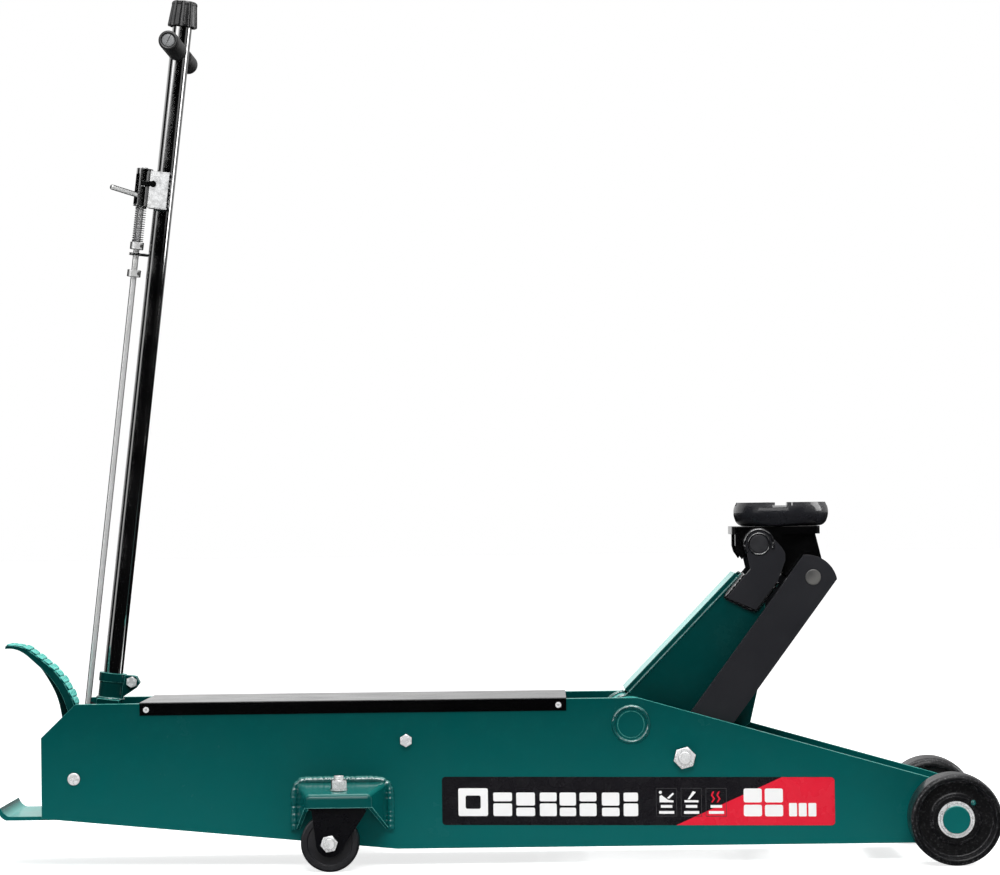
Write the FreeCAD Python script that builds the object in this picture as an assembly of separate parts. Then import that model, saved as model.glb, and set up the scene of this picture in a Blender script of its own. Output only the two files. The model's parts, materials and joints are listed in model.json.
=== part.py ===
import FreeCAD, Part
import math
import os

# Long-chassis hydraulic floor jack, 20 t class, with foot pedal.
# Frame: +X to the front wheels, +Y left, +Z up, floor at Z = 0, origin under the middle.
# Working coordinates: x is measured from the front axle (negative to the rear), z from the
# frame datum, and y is the frame's own. A centre or outline corner is (x, z) unless noted.

# ---- driving dimensions, mm and degrees ----
AXLE_X = 753.0            # front axle ahead of the origin
DATUM_Z = 4.0             # frame datum above the floor
RUN = 0.05                # radial running clearance
PLATE_OUT, PLATE_T = 107.5, 12.0      # side plates: outer face and thickness
PLATE_IN = PLATE_OUT - PLATE_T
FRAME_TOP = 270.0
WHEEL_R, WHEEL_IN, WHEEL_OUT = 75.0, 134.0, 212.0
AXLE_R = 22.5
CASTER_R, CASTER_Y, STEM_X, TRAIL = 48.0, 174.0, -1007.0, 15.0
ARM_LEN, ARM_DEG = 368.0, 53.5        # lift arm pivot to saddle pivot, angle above level
LINK_DX, LINK_DZ = 88.0, -56.0        # radius link pins from the arm pins
LEVER_R, LEVER_DEG = 92.0, 34.0       # thrust roller from the arm pivot, ahead of straight down
ROLLER_R = 22.0
PUSHER_GAP = 1.4
RAM_Z = 142.0
CYL_X0, CYL_X1 = -1120.0, -680.0      # ends of the hydraulic cylinder
BORE_R, ROD_R, SHELL_R, TUBE_R = 32.0, 22.5, 56.0, 42.0
SADDLE_X, SADDLE_Z0 = -264.0, 551.3
HANDLE_X, HANDLE_Z = -1412.1, 200.0   # handle pivot
TILT = 6.743                          # handle lean towards the front
SWING = 66.0                          # handle swing to the rear
HANDLE_R = 16.5
LOCK_X = -37.3                        # lock rod behind the handle's axis
LOCK_PIN_Z = 55.5                     # lock pin up the handle from its pivot
LOCK_DROP = 6.0
FINGER_R, FINGER_DEG, FINGER_NOSE = 32.0, 35.0, 12.0    # handle finger, behind straight down
PEDAL_X, PEDAL_Z = -1451.6, 146.5     # foot pedal pin
PEDAL_FINGER_R, PEDAL_FINGER_DEG, PEDAL_NOSE = 35.0, 14.0, 9.0

# radii of pins, bolts and rods
ARM_SHAFT_R, ROLLER_PIN_R = 22.0, 10.0
SADDLE_PIN_R, LINK_PIN_R, LINK_BOLT_R = 15.5, 13.0, 10.5
STEM_R, CASTER_AXLE_R = 8.0, 9.0
BAR_BOLT_R, COVER_SCREW_R = 6.0, 3.0
HANDLE_STUD_R, PEDAL_PIN_R = 9.0, 7.0
PLUNGER_R, SPINDLE_R, KNUCKLE_PIN_R = 8.0, 6.0, 3.0
RELEASE_ROD_R, LOCK_ROD_R, CLAMP_R = 5.0, 5.0, 5.0

Vec = FreeCAD.Vector
X_DIR, Y_DIR, Z_DIR = Vec(1, 0, 0), Vec(0, 1, 0), Vec(0, 0, 1)


# ---- points ----
def point(x, z, y=0.0):
    return Vec(AXLE_X + x, y, DATUM_Z + z)


def polar(centre, radius, deg):
    angle = math.radians(deg)
    return (centre[0] + radius * math.cos(angle), centre[1] + radius * math.sin(angle))


def offset(start, deg, along, right):
    """From start, so far along the direction deg and so far to the right of it."""
    dx, dz = polar((0, 0), 1.0, deg)
    return (start[0] + dx * along + dz * right, start[1] + dz * along - dx * right)


AXLE = (0, WHEEL_R - DATUM_Z)
ARM_PIVOT = (-525.0, 226.0)
SADDLE_PIN = polar(ARM_PIVOT, ARM_LEN, ARM_DEG)
LINK_LOW = (ARM_PIVOT[0] + LINK_DX, ARM_PIVOT[1] + LINK_DZ)
LINK_TOP = (SADDLE_PIN[0] + LINK_DX, SADDLE_PIN[1] + LINK_DZ)
ROLLER = polar(ARM_PIVOT, LEVER_R, LEVER_DEG - 90)
PUSHER_X = ROLLER[0] - ROLLER_R - PUSHER_GAP
STEM = (STEM_X, CASTER_Y)             # (x, y)
CASTER_AXLE = (STEM_X - TRAIL, CASTER_R - DATUM_Z)
HANDLE_PIVOT = (HANDLE_X, HANDLE_Z)
FINGER_TIP = polar(HANDLE_PIVOT, FINGER_R, 270 - FINGER_DEG)
PEDAL_PIN = (PEDAL_X, PEDAL_Z)
PEDAL_TIP = polar(PEDAL_PIN, PEDAL_FINGER_R, 270 - PEDAL_FINGER_DEG)
BAR_BOLT = (-898.6, 204)
COVER_SCREWS = [(-1330, 260), (-645, 260)]
SPRING_EYE = (-871.0, 207)
PLUNGER_Y, PLUNGER_Z = 28, 168.0
PEDAL_PLUNGER_Y = -70
PEDAL_PLUNGER_Z = PEDAL_Z - PEDAL_FINGER_R * math.cos(math.radians(PEDAL_FINGER_DEG * 0.6))


# ---- shapes ----
def outline(corners, make):
    """Face from (a, b) corners; (am, bm, a, b) is an arc through (am, bm)."""
    edges = []
    first = last = make(*corners[0][:2])
    for corner in corners[1:]:
        end = make(*corner[-2:])
        if len(corner) == 4:
            edges.append(Part.Arc(last, make(*corner[:2]), end).toShape())
        else:
            edges.append(Part.LineSegment(last, end).toShape())
        last = end
    if last.distanceToPoint(first) > 1e-6:
        edges.append(Part.LineSegment(last, first).toShape())
    return Part.Face(Part.Wire(edges))


def profile(corners, y0, y1):
    return outline(corners, lambda x, z: point(x, z, y0)).extrude(Y_DIR * (y1 - y0))


def cyl_x(y, z, radius, x0, x1):
    return Part.makeCylinder(radius, x1 - x0, point(x0, z, y), X_DIR)


def cyl_y(centre, radius, y0, y1):
    return Part.makeCylinder(radius, y1 - y0, point(*centre, y0), Y_DIR)


def cyl_z(centre, radius, z0, z1):
    """Upright cylinder; centre is (x, y)."""
    return Part.makeCylinder(radius, z1 - z0, point(centre[0], z0, centre[1]), Z_DIR)


def box(x0, x1, y0, y1, z0, z1):
    return Part.makeBox(x1 - x0, y1 - y0, z1 - z0, point(x0, z0, y0))


def turned_y(corners, centre, y_mid=0.0):
    """Turned about a cross axis; corners are (radius, distance out from y_mid)."""
    face = outline(corners, lambda r, out: point(centre[0], centre[1] + r, y_mid + out))
    return face.revolve(point(*centre), Y_DIR, 360)


def hexagon(centre, radius, turn=0.0):
    return [polar(centre, radius, 60 * k + turn) for k in range(6)]


def hex_z(centre, z0, z1, flats, turn=0.0):
    """Upright hexagonal prism; centre is (x, y)."""
    corners = hexagon(centre, flats / math.sqrt(3), turn)
    return outline(corners, lambda x, y: point(x, z0, y)).extrude(Z_DIR * (z1 - z0))


def chamfered(prism, foot, way, height, flats):
    """Hexagonal prism with its corners chamfered at the end away from foot."""
    corner_r, tip_r = flats / math.sqrt(3), 0.47 * flats
    drop = (corner_r - tip_r) * math.tan(math.radians(30))
    body = Part.makeCylinder(corner_r, height - drop, foot, way)
    tip = Part.makeCone(corner_r, tip_r, drop, foot + way * (height - drop), way)
    return prism.common(body.fuse(tip))


def hex_y(centre, y0, y1, flats, turn=0.0, outer=1):
    """Hex head or nut chamfered at its outer end: 1 the high-y end, -1 the low."""
    prism = profile(hexagon(centre, flats / math.sqrt(3), turn), y0, y1)
    foot = point(*centre, y0 if outer > 0 else y1)
    return chamfered(prism, foot, Y_DIR * outer, y1 - y0, flats)


def fuse(*shapes):
    whole = shapes[0]
    for shape in shapes[1:]:
        whole = whole.fuse(shape)
    return whole.removeSplitter()


def cut(shape, *tools):
    for tool in tools:
        shape = shape.cut(tool)
    return shape


def mirrored(shape):
    return shape.mirror(Vec(0, 0, 0), Y_DIR)


def pair(shape):
    return shape, mirrored(shape)


def soften(shape, radius, pick):
    """Round the edges that pick() chooses."""
    edges = [edge for edge in shape.Edges if pick(edge)]
    # Guards against the kernel refusing the fillet: the plain shape is kept.
    try:
        rounded = shape.makeFillet(radius, edges)
        if rounded.isValid() and rounded.Volume > 0:
            return rounded
    except Exception:
        pass
    return shape


def end_ring(edge):
    """True for an edge that lies square to Y."""
    return edge.BoundBox.YLength < 0.01


# ---- output ----
os.makedirs("parts", exist_ok=True)


def put(name, *shapes):
    found = [solid for shape in shapes for solid in shape.Solids]
    node = Part.makeCompound(found) if len(found) > 1 else found[0]
    node.exportStep("parts/" + name + ".step")


def put_sides(name, left):
    put(name + "_left", left)
    put(name + "_right", mirrored(left))


# ---- handle frame: x ahead of the handle's axis, y across, z up the handle from its pivot ----
HANDLE_PLACE = FreeCAD.Placement(point(*HANDLE_PIVOT), FreeCAD.Rotation(Y_DIR, TILT))


def lean(shape):
    """Move a shape from the handle frame onto the jack."""
    moved = shape.copy()
    moved.Placement = HANDLE_PLACE.multiply(moved.Placement)
    return moved


def h_cyl_z(x, radius, z0, z1):
    return Part.makeCylinder(radius, z1 - z0, Vec(x, 0, z0), Z_DIR)


def h_cyl_y(centre, radius, y0, y1):
    return Part.makeCylinder(radius, y1 - y0, Vec(centre[0], y0, centre[1]), Y_DIR)


def h_box(x0, x1, y0, y1, z0, z1):
    return Part.makeBox(x1 - x0, y1 - y0, z1 - z0, Vec(x0, y0, z0))


def h_profile(corners, y0, y1):
    return outline(corners, lambda x, z: Vec(x, y0, z)).extrude(Y_DIR * (y1 - y0))


# ================= chassis =================
# side plates, from the rear lower corner over the top and round the nose
PLATE_OUTLINE = [
    (-1506, 81), (-1506, 215), (-1448.7, FRAME_TOP), (-513, FRAME_TOP), (13.8, 119.2),
    (50, 71, 0, 21), (-60, 24.5), (-915, 24.5),
]
PLATE_HOLES = [
    (AXLE, AXLE_R), (ARM_PIVOT, ARM_SHAFT_R), (LINK_LOW, LINK_BOLT_R),
    (PEDAL_PIN, PEDAL_PIN_R), (BAR_BOLT, BAR_BOLT_R),
] + [(screw, COVER_SCREW_R) for screw in COVER_SCREWS]
plate = cut(
    profile(PLATE_OUTLINE, PLATE_IN, PLATE_OUT),
    *[cyl_y(centre, radius, PLATE_IN - 1, PLATE_OUT + 1) for centre, radius in PLATE_HOLES],
)
put_sides("side_plate", plate)

# rear step, curled up at its rear edge
STEP_OUTLINE = [
    (-1450, 77.5), (-1567, 77.5), (-1574, 81.5, -1581, 95.5), (-1576, 99.5),
    (-1568.5, 87.5, -1562, 84), (-1450, 84),
]
put("rear_step_plate", profile(STEP_OUTLINE, -PLATE_IN, PLATE_IN))


def cross_tie(x0, x1, z0, z1):
    return box(x0, x1, -PLATE_IN, PLATE_IN, z0, z1)


BOTTOM_TIES = [(-130, -70), (-330, -280), (-660, -600), (-900, -840)]    # x0, x1
put(
    "frame_cross_ties",
    cross_tie(24, 36, 42, 100),
    *[cross_tie(x0, x1, 25, 33) for x0, x1 in BOTTOM_TIES],
    # cradle hollowed round the cylinder
    cut(cross_tie(-690, -655, 62, 110), cyl_x(0, RAM_Z, SHELL_R + 2.0, -700, -640)),
    cross_tie(-1440, -1140, 84, 92),
)

put("arm_pivot_shaft", cyl_y(ARM_PIVOT, ARM_SHAFT_R, -PLATE_OUT, PLATE_OUT))

# front axle, grooved for a circlip near each end
AXLE_END = 206
groove = cut(cyl_y(AXLE, 30, 199.95, 202.55), cyl_y(AXLE, 21.25, 199, 204))
axle = cut(cyl_y(AXLE, AXLE_R, -AXLE_END, AXLE_END), *pair(groove))
axle = soften(
    axle, 2.0, lambda edge: abs(abs(edge.BoundBox.YMin) - AXLE_END) < 0.01 and end_ring(edge)
)
put("front_axle", axle)

# circlip with two eyelets, washer, and the thrust spacer between plate and wheel
CLIP_Y0, CLIP_Y1 = 200.0, 202.4
gap = [AXLE] + [polar(AXLE, radius, deg) for radius, deg in ((40, 119), (60, 136.5), (40, 154))]
clip = cut(cyl_y(AXLE, 26.0, CLIP_Y0, CLIP_Y1), profile(gap, 199, 204))
for deg in (116.5, 156.5):
    eyelet = polar(AXLE, 25.6, deg)
    clip = cut(clip.fuse(cyl_y(eyelet, 3.4, CLIP_Y0, CLIP_Y1)), cyl_y(eyelet, 1.4, 199, 204))
clip = cut(clip, cyl_y(AXLE, 21.3, 199, 204))
washer = cut(cyl_y(AXLE, 30.0, 198.5, 199.9), cyl_y(AXLE, AXLE_R, 198, 201))
spacer = cut(
    cyl_y(AXLE, 33, PLATE_OUT, WHEEL_IN - 0.3), cyl_y(AXLE, AXLE_R, PLATE_OUT - 1, WHEEL_IN)
)
put("axle_rings_and_spacers", *pair(clip), *pair(washer), *pair(spacer))

# cover: a shallow channel turned down over the side plates
COVER_X0, COVER_X1, COVER_Y, COVER_TOP = -1341.0, -632.0, 109.5, 272.0
cover = box(COVER_X0, COVER_X1, -COVER_Y, COVER_Y, 250.5, COVER_TOP)


def cover_edge(edge):
    bounds = edge.BoundBox
    return bounds.ZMin > DATUM_Z + COVER_TOP - 0.1 and bounds.XLength > 500


cover = soften(cover, 1.6, cover_edge)
cover = cut(cover, box(COVER_X0 - 1, COVER_X1 + 1, -PLATE_OUT, PLATE_OUT, 240, FRAME_TOP))
cover = cut(cover, *[cyl_y(screw, COVER_SCREW_R, -120, 120) for screw in COVER_SCREWS])
put("cover_plate", cover)

# socket screws of the cover and the bolts of the spring anchor bar
screws = []
for centre in COVER_SCREWS:
    screw = fuse(cyl_y(centre, 5.0, COVER_Y, 112), cyl_y(centre, COVER_SCREW_R, 96, 110))
    screws += pair(cut(screw, hex_y(centre, 110.6, 113, 3.0)))
bar_bolt = fuse(
    hex_y(BAR_BOLT, PLATE_OUT, PLATE_OUT + 7.5, 19.0, 90),
    cyl_y(BAR_BOLT, BAR_BOLT_R, 72, PLATE_OUT + 1),
)
put("frame_screws", *screws, *pair(bar_bolt))

# cross bar with a drilled lug for each spring
lug = cut(box(-888, -868, 67, 71, 199, 215), cyl_y((-877, 207), 4.0, 60, 80))
bar = fuse(box(-910, -887, -PLATE_IN, PLATE_IN, 198.6, 216.0), *pair(lug))
put("spring_anchor_bar", cut(bar, *pair(cyl_y(BAR_BOLT, BAR_BOLT_R, 71.5, 100))))

# pressed caster hood: its plan flares and its gussets deepen towards the plate
HOOD_Y = 209


def hood_plan(inset, z0, z1):
    corners = [
        (-1083 + inset, PLATE_OUT), (-1060.5 + inset, HOOD_Y - inset),
        (-953 - inset, HOOD_Y - inset), (-928 - inset, PLATE_OUT),
    ]
    return outline(corners, lambda x, y: point(x, z0, y)).extrude(Z_DIR * (z1 - z0))


def hood_edge(edge):
    bounds = edge.BoundBox
    top = bounds.ZMin > DATUM_Z + 124 and edge.CenterOfMass.y > PLATE_OUT + 20
    corner = bounds.YMin > HOOD_Y - 0.1 and bounds.ZLength > 15
    return top or corner


# (y, z) seen along the jack
HOOD_SIDE = [(PLATE_OUT, 58), (PLATE_OUT, 136.5), (HOOD_Y, 124.4), (HOOD_Y, 102.3), (201, 102.3)]
side = outline(HOOD_SIDE, lambda y, z: point(-1110, z, y)).extrude(X_DIR * 200)
hood = soften(hood_plan(0, 50, 140).common(side), 9.0, hood_edge)
hood = cut(
    hood, hood_plan(6.0, 40, 118.0), cyl_z(STEM, STEM_R, 100, 145), cyl_z(STEM, 14.6, 128.0, 145)
)
put_sides("caster_bracket", hood)

# swivel pin, nut and bearing of each caster
NUT_Z0, NUT_Z1, NUT_FLATS = 131.4, 145.4, 24.0
nut = hex_z(STEM, NUT_Z0, NUT_Z1, NUT_FLATS, 20)
nut = chamfered(nut, point(STEM_X, NUT_Z0, CASTER_Y), Z_DIR, NUT_Z1 - NUT_Z0, NUT_FLATS)
nut = cut(fuse(nut, cyl_z(STEM, 14.0, 128.0, NUT_Z0)), cyl_z(STEM, STEM_R, 120, 150))
pin = fuse(cyl_z(STEM, 12.0, 93.4, 96.6), cyl_z(STEM, STEM_R, 95, 153))
pin = soften(pin, 1.2, lambda edge: edge.BoundBox.ZMin > DATUM_Z + 152.9)
bearing = fuse(cyl_z(STEM, 26.0, 109.5, 118.0), cyl_z(STEM, 23.0, 104.3, 110.0))
bearing = cut(bearing, cyl_z(STEM, STEM_R, 100, 120))
put("caster_swivels", *pair(pin), *pair(nut), *pair(bearing))

# bolts and retaining rings of the lower link pivots
BOLT_END = PLATE_OUT + 15
shank = cyl_y(LINK_LOW, LINK_BOLT_R, 72.5, BOLT_END)
shank = soften(shank, 1.5, lambda edge: edge.BoundBox.YMin > BOLT_END - 0.1)
bolt = fuse(
    hex_y(LINK_LOW, PLATE_OUT, PLATE_OUT + 11.0, 33.0, 15),
    shank,
    cyl_y(LINK_LOW, 16.0, 91.3, PLATE_IN),
)
ring = cut(cyl_y(LINK_LOW, 15.0, 73.5, 76.7), cyl_y(LINK_LOW, LINK_BOLT_R, 70, 80))
put("link_pivot_bolts", *pair(bolt), *pair(ring))

# pedal pin with a round head on each side
HEAD_R, HEAD_END = 10.4, PLATE_OUT + 4.0
pedal_pin = fuse(
    cyl_y(PEDAL_PIN, PEDAL_PIN_R, -PLATE_OUT - 1, PLATE_OUT + 1),
    cyl_y(PEDAL_PIN, HEAD_R, PLATE_OUT, HEAD_END),
    cyl_y(PEDAL_PIN, HEAD_R, -HEAD_END, -PLATE_OUT),
)
pedal_pin = soften(
    pedal_pin, 1.6, lambda edge: abs(abs(edge.BoundBox.YMin) - HEAD_END) < 0.01 and end_ring(edge)
)
put("pedal_pivot_pin", pedal_pin)


# ================= hydraulic unit, lying along the frame =================
def barrel(outer, inner):
    return cut(
        cyl_x(0, RAM_Z, outer, CYL_X0, CYL_X1), cyl_x(0, RAM_Z, inner, CYL_X0 - 1, CYL_X1 + 1)
    )


put("hydraulic_cylinder", barrel(TUBE_R, BORE_R))
put("reservoir_shell", barrel(SHELL_R, SHELL_R - 4))
head = fuse(cyl_x(0, RAM_Z, SHELL_R, CYL_X1, -662), cyl_x(0, RAM_Z, 36, -662, -650))
put("cylinder_head", cut(head, cyl_x(0, RAM_Z, ROD_R + RUN, -690, -640)))

# pump block with a round boss for each plunger
BLOCK_Z0, BLOCK_Z1, BLOCK_REAR = 92, 178, -1340
block = fuse(
    cyl_x(0, RAM_Z, SHELL_R, -1135, CYL_X0),
    box(BLOCK_REAR, -1135, -36, 36, BLOCK_Z0, BLOCK_Z1),
    box(-1440, BLOCK_REAR, -18, 18, BLOCK_Z0, 150),
    cyl_x(PLUNGER_Y, PLUNGER_Z, 15, -1374, -1300),
    cyl_x(PEDAL_PLUNGER_Y, PEDAL_PLUNGER_Z, 15, -1405, -1339),
    box(BLOCK_REAR, -1290, -86, -36, BLOCK_Z0, 131),
)
down_handle = HANDLE_PLACE.Rotation.multVec(Vec(0, 0, -1))
block = cut(
    block,
    cyl_x(PLUNGER_Y, PLUNGER_Z, PLUNGER_R + RUN, -1380, -1262),
    cyl_x(PEDAL_PLUNGER_Y, PEDAL_PLUNGER_Z, PLUNGER_R + RUN, -1410, -1300),
    Part.makeCylinder(SPINDLE_R + RUN, 95, point(*HANDLE_PIVOT), down_handle),
    cyl_x(0, RAM_Z, 5, -1180, -1100),
)
put("pump_block", block)

# x, y, across flats, height
PLUGS = [(-1175, 14, 22, 9), (-1175, -18, 17, 8), (-1225, 0, 17, 8), (-1275, -18, 14, 7)]
put(
    "valve_plugs",
    *[hex_z((x, y), BLOCK_Z1, BLOCK_Z1 + height, flats) for x, y, flats, height in PLUGS],
)

# handle pivot ears; the left one carries the lock quadrant with a notch at each end of the swing
EAR_IN, EAR_OUT, EAR_R = 36, 48, 22.5
QUADRANT_R, SLOT_R = 60.0, 6.6
strap = [
    (HANDLE_X - EAR_R, BLOCK_Z0), (HANDLE_X + EAR_R, BLOCK_Z0), (HANDLE_X + EAR_R, HANDLE_Z),
    (HANDLE_X, HANDLE_Z + EAR_R, HANDLE_X - EAR_R, HANDLE_Z),
]
ear = fuse(profile(strap, -EAR_OUT, -EAR_IN), cyl_y(HANDLE_PIVOT, EAR_R, -EAR_OUT, -EAR_IN))
ear = cut(ear, cyl_y(HANDLE_PIVOT, HANDLE_STUD_R, -60, -30))


def rim(deg, radius):
    """Point about the handle pivot, deg behind straight up."""
    return polar(HANDLE_PIVOT, radius, 90 + deg)


sector = [
    HANDLE_PIVOT, rim(2, 24), rim(2, QUADRANT_R),
    rim(56, QUADRANT_R) + rim(112, QUADRANT_R), rim(150, 30),
]
quadrant = fuse(
    profile(strap, EAR_IN, EAR_OUT),
    profile(sector, EAR_IN, EAR_OUT),
    cyl_y(HANDLE_PIVOT, EAR_R, EAR_IN, EAR_OUT),
)
SLOT_Z = LOCK_PIN_Z - LOCK_DROP
slot = h_box(LOCK_X - SLOT_R, LOCK_X + SLOT_R, 30, 60, SLOT_Z, 90)
slot_up = lean(slot.fuse(h_cyl_y((LOCK_X, SLOT_Z), SLOT_R, 30, 60)))
slot_down = slot_up.copy()
slot_down.rotate(point(*HANDLE_PIVOT), Vec(0, -1, 0), SWING)
quadrant = cut(quadrant, cyl_y(HANDLE_PIVOT, HANDLE_STUD_R, 30, 60), slot_up, slot_down)
put("handle_ears", ear, quadrant)

stud = fuse(
    cyl_y(HANDLE_PIVOT, HANDLE_STUD_R, 19, EAR_OUT + 1),
    hex_y(HANDLE_PIVOT, EAR_OUT, EAR_OUT + 7, 22.0),
)
put("handle_pivot_studs", *pair(stud))

# ================= hydraulic ram =================
PISTON_X0, PISTON_X1 = -764, -724
SEAT_X = PUSHER_X - 34                # the rod ends in a seat in the pusher
put("ram_rod", cyl_x(0, RAM_Z, ROD_R, PISTON_X1, SEAT_X))
grooves = [
    cut(cyl_x(0, RAM_Z, BORE_R + 1, x, x + 5), cyl_x(0, RAM_Z, BORE_R - 3, x - 1, x + 6))
    for x in (-756, -740)
]
put("ram_piston", cut(cyl_x(0, RAM_Z, BORE_R - RUN, PISTON_X0, PISTON_X1), *grooves))
pusher = box(PUSHER_X - 40, PUSHER_X, -30, 30, RAM_Z - 30, RAM_Z + 30)
pusher = soften(pusher, 4.0, lambda edge: edge.BoundBox.XLength > 30)
put("ram_pusher", cut(pusher, cyl_x(0, RAM_Z, ROD_R, PUSHER_X - 41, SEAT_X)))

# ================= lift arm =================
CHEEK_IN, CHEEK_OUT, LUG_OUT = 50, 62, 74
TUBE_OUTER_R, TUBE_END = 44.0, 92
TOP_FOOT, TOP_HEAD = (-536.0, 267.7), (-337.0, 472.5)    # upper edge of the cheeks
CHEEK_OUTLINE = [
    ARM_PIVOT, TOP_FOOT, TOP_HEAD, polar(SADDLE_PIN, 57, 240),
    polar(SADDLE_PIN, 57, 262) + polar(SADDLE_PIN, 57, 284),
    (-309.7, 285.3), (-324.4, 222.8), (-404, 176), polar(ROLLER, 26, 25),
    polar(ROLLER, 26, -60) + polar(ROLLER, 26, 205), (-556, 198),
]
cheek = cut(
    profile(CHEEK_OUTLINE, CHEEK_IN, CHEEK_OUT),
    cyl_y(ARM_PIVOT, TUBE_OUTER_R, 40, 70),
    cyl_y(ROLLER, ROLLER_PIN_R, 40, 70),
)
put("arm_side_cheeks", *pair(cheek))

# plates closing the arm: one along the upper edge, one at the front below
top_deg = math.degrees(math.atan2(TOP_HEAD[1] - TOP_FOOT[1], TOP_HEAD[0] - TOP_FOOT[0]))
TOP_CORNERS = [(12, -8), (280, -8), (280, 0), (12, 0)]    # along the edge, to its right
top = profile([offset(TOP_FOOT, top_deg, *corner) for corner in TOP_CORNERS], -CHEEK_OUT, CHEEK_OUT)
top = soften(top, 1.5, lambda edge: end_ring(edge) and edge.Length > 200)
low = profile([(-311.5, 300), (-326, 229), (-334, 231), (-319.5, 302)], -CHEEK_IN, CHEEK_IN)
put("arm_box_plates", top, low)
put("arm_pivot_tube", cut(
    cyl_y(ARM_PIVOT, TUBE_OUTER_R, -TUBE_END, TUBE_END),
    cyl_y(ARM_PIVOT, ARM_SHAFT_R + RUN, -TUBE_END - 1, TUBE_END + 1),
))

# lugs outside the cheeks that hold the saddle pin
LUG_OUTLINE = [
    polar(SADDLE_PIN, 26, 140), polar(SADDLE_PIN, 26, 75) + polar(SADDLE_PIN, 26, 20),
    (-269, 517), (-262.6, 506), (-262.7, 494), (-275.6, 460), (-313, 412), (-361, 433),
    (-321, 480), (-326, 503),
]
lug = fuse(profile(LUG_OUTLINE, CHEEK_OUT, LUG_OUT), cyl_y(SADDLE_PIN, 26.0, CHEEK_OUT, LUG_OUT))
put("saddle_lugs", *pair(cut(lug, cyl_y(SADDLE_PIN, SADDLE_PIN_R, 60, 80))))
put("saddle_pivot_pin", soften(cyl_y(SADDLE_PIN, SADDLE_PIN_R, -75.2, 75.2), 1.0, end_ring))
put("roller_pin", cyl_y(ROLLER, ROLLER_PIN_R, -76, 76))
put("thrust_roller", cut(
    cyl_y(ROLLER, ROLLER_R, -30, 30), cyl_y(ROLLER, ROLLER_PIN_R + RUN, -31, 31)
))

# return springs, hooked round the roller pin and through the eyes of the anchor bar
SPRING_Y, WIRE_R = 69.0, 1.8
FRONT_HOOK_R, REAR_HOOK_R = 12.6, 5.6
FRONT_LEAD, REAR_LEAD = 45.0, 35.0    # from each hook's centre to the coil
front = point(*ROLLER, SPRING_Y)
rear = point(*SPRING_EYE, SPRING_Y)
coil_end = (rear - front).Length - REAR_LEAD
run_dir = (rear - front).normalize()


def spring_piece(radius, start, length):
    return Part.makeCylinder(radius, length, front + run_dir * start, run_dir)


spring = fuse(
    spring_piece(6.0, FRONT_LEAD, coil_end - FRONT_LEAD),
    Part.makeTorus(FRONT_HOOK_R, WIRE_R, front, Y_DIR),
    Part.makeTorus(REAR_HOOK_R, 1.5, rear, Vec(run_dir.z, 0, -run_dir.x)),
    spring_piece(WIRE_R, FRONT_HOOK_R, FRONT_LEAD - FRONT_HOOK_R + 2),
    spring_piece(WIRE_R, coil_end - 2, REAR_LEAD - REAR_HOOK_R + 2),
)
put("return_springs", *pair(spring))

# ================= radius links =================
LINK_HALF = 34.2


def link_point(along, right):
    return offset(LINK_LOW, ARM_DEG, along, right)


link = profile([
    link_point(ARM_LEN + 21, -LINK_HALF),
    link_point(ARM_LEN + 34, 0) + link_point(ARM_LEN + 21, LINK_HALF),
    link_point(0, LINK_HALF),
    link_point(-LINK_HALF, 0) + link_point(0, -LINK_HALF),
], 77, 91)
link = cut(
    link, cyl_y(LINK_LOW, LINK_BOLT_R + RUN, 70, 95), cyl_y(LINK_TOP, LINK_PIN_R + RUN, 70, 95)
)
put("radius_links", *pair(link))

# ================= saddle bracket =================
TABLE_Z0, TABLE_Z1 = 538, 551


def table_corner(edge):
    """Upright edges at the front and rear corners of the table."""
    bounds = edge.BoundBox
    upright = abs(bounds.ZLength - (TABLE_Z1 - TABLE_Z0)) < 0.01 and bounds.XLength < 0.01
    at_end = bounds.XMin > AXLE_X - 210 or bounds.XMin < AXLE_X - 345
    return upright and abs(bounds.YMin) > 55 and at_end


table = fuse(
    box(-350.5, -262, -60, 60, TABLE_Z0, TABLE_Z1), box(-267, -204, -76, 76, TABLE_Z0, TABLE_Z1)
)
table = soften(table, 9.0, table_corner)
BRACKET_CHEEK = [
    (-345, 540), (-345, 519), (-342, 508), (-334, 496), polar(SADDLE_PIN, 27, 215),
    polar(SADDLE_PIN, 27, 262) + polar(SADDLE_PIN, 27, 290), polar(LINK_TOP, 24, 235),
    polar(LINK_TOP, 24, 290) + polar(LINK_TOP, 24, 10), (-211.5, 540),
]
bracket = fuse(
    table, *pair(profile(BRACKET_CHEEK, 46, 60)), *pair(cyl_y(LINK_TOP, 20.0, 59, 75))
)
SPIGOT_R = 14.0
bracket = cut(
    bracket,
    cyl_y(SADDLE_PIN, SADDLE_PIN_R + RUN, -80, 80),
    cyl_y(LINK_TOP, LINK_PIN_R, -80, 80),
    cyl_z((SADDLE_X, 0), SPIGOT_R + RUN, 530, 560),
)
put("saddle_bracket", bracket)
put("link_pin", soften(cyl_y(LINK_TOP, LINK_PIN_R, -93, 93), 1.2, end_ring))

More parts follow.
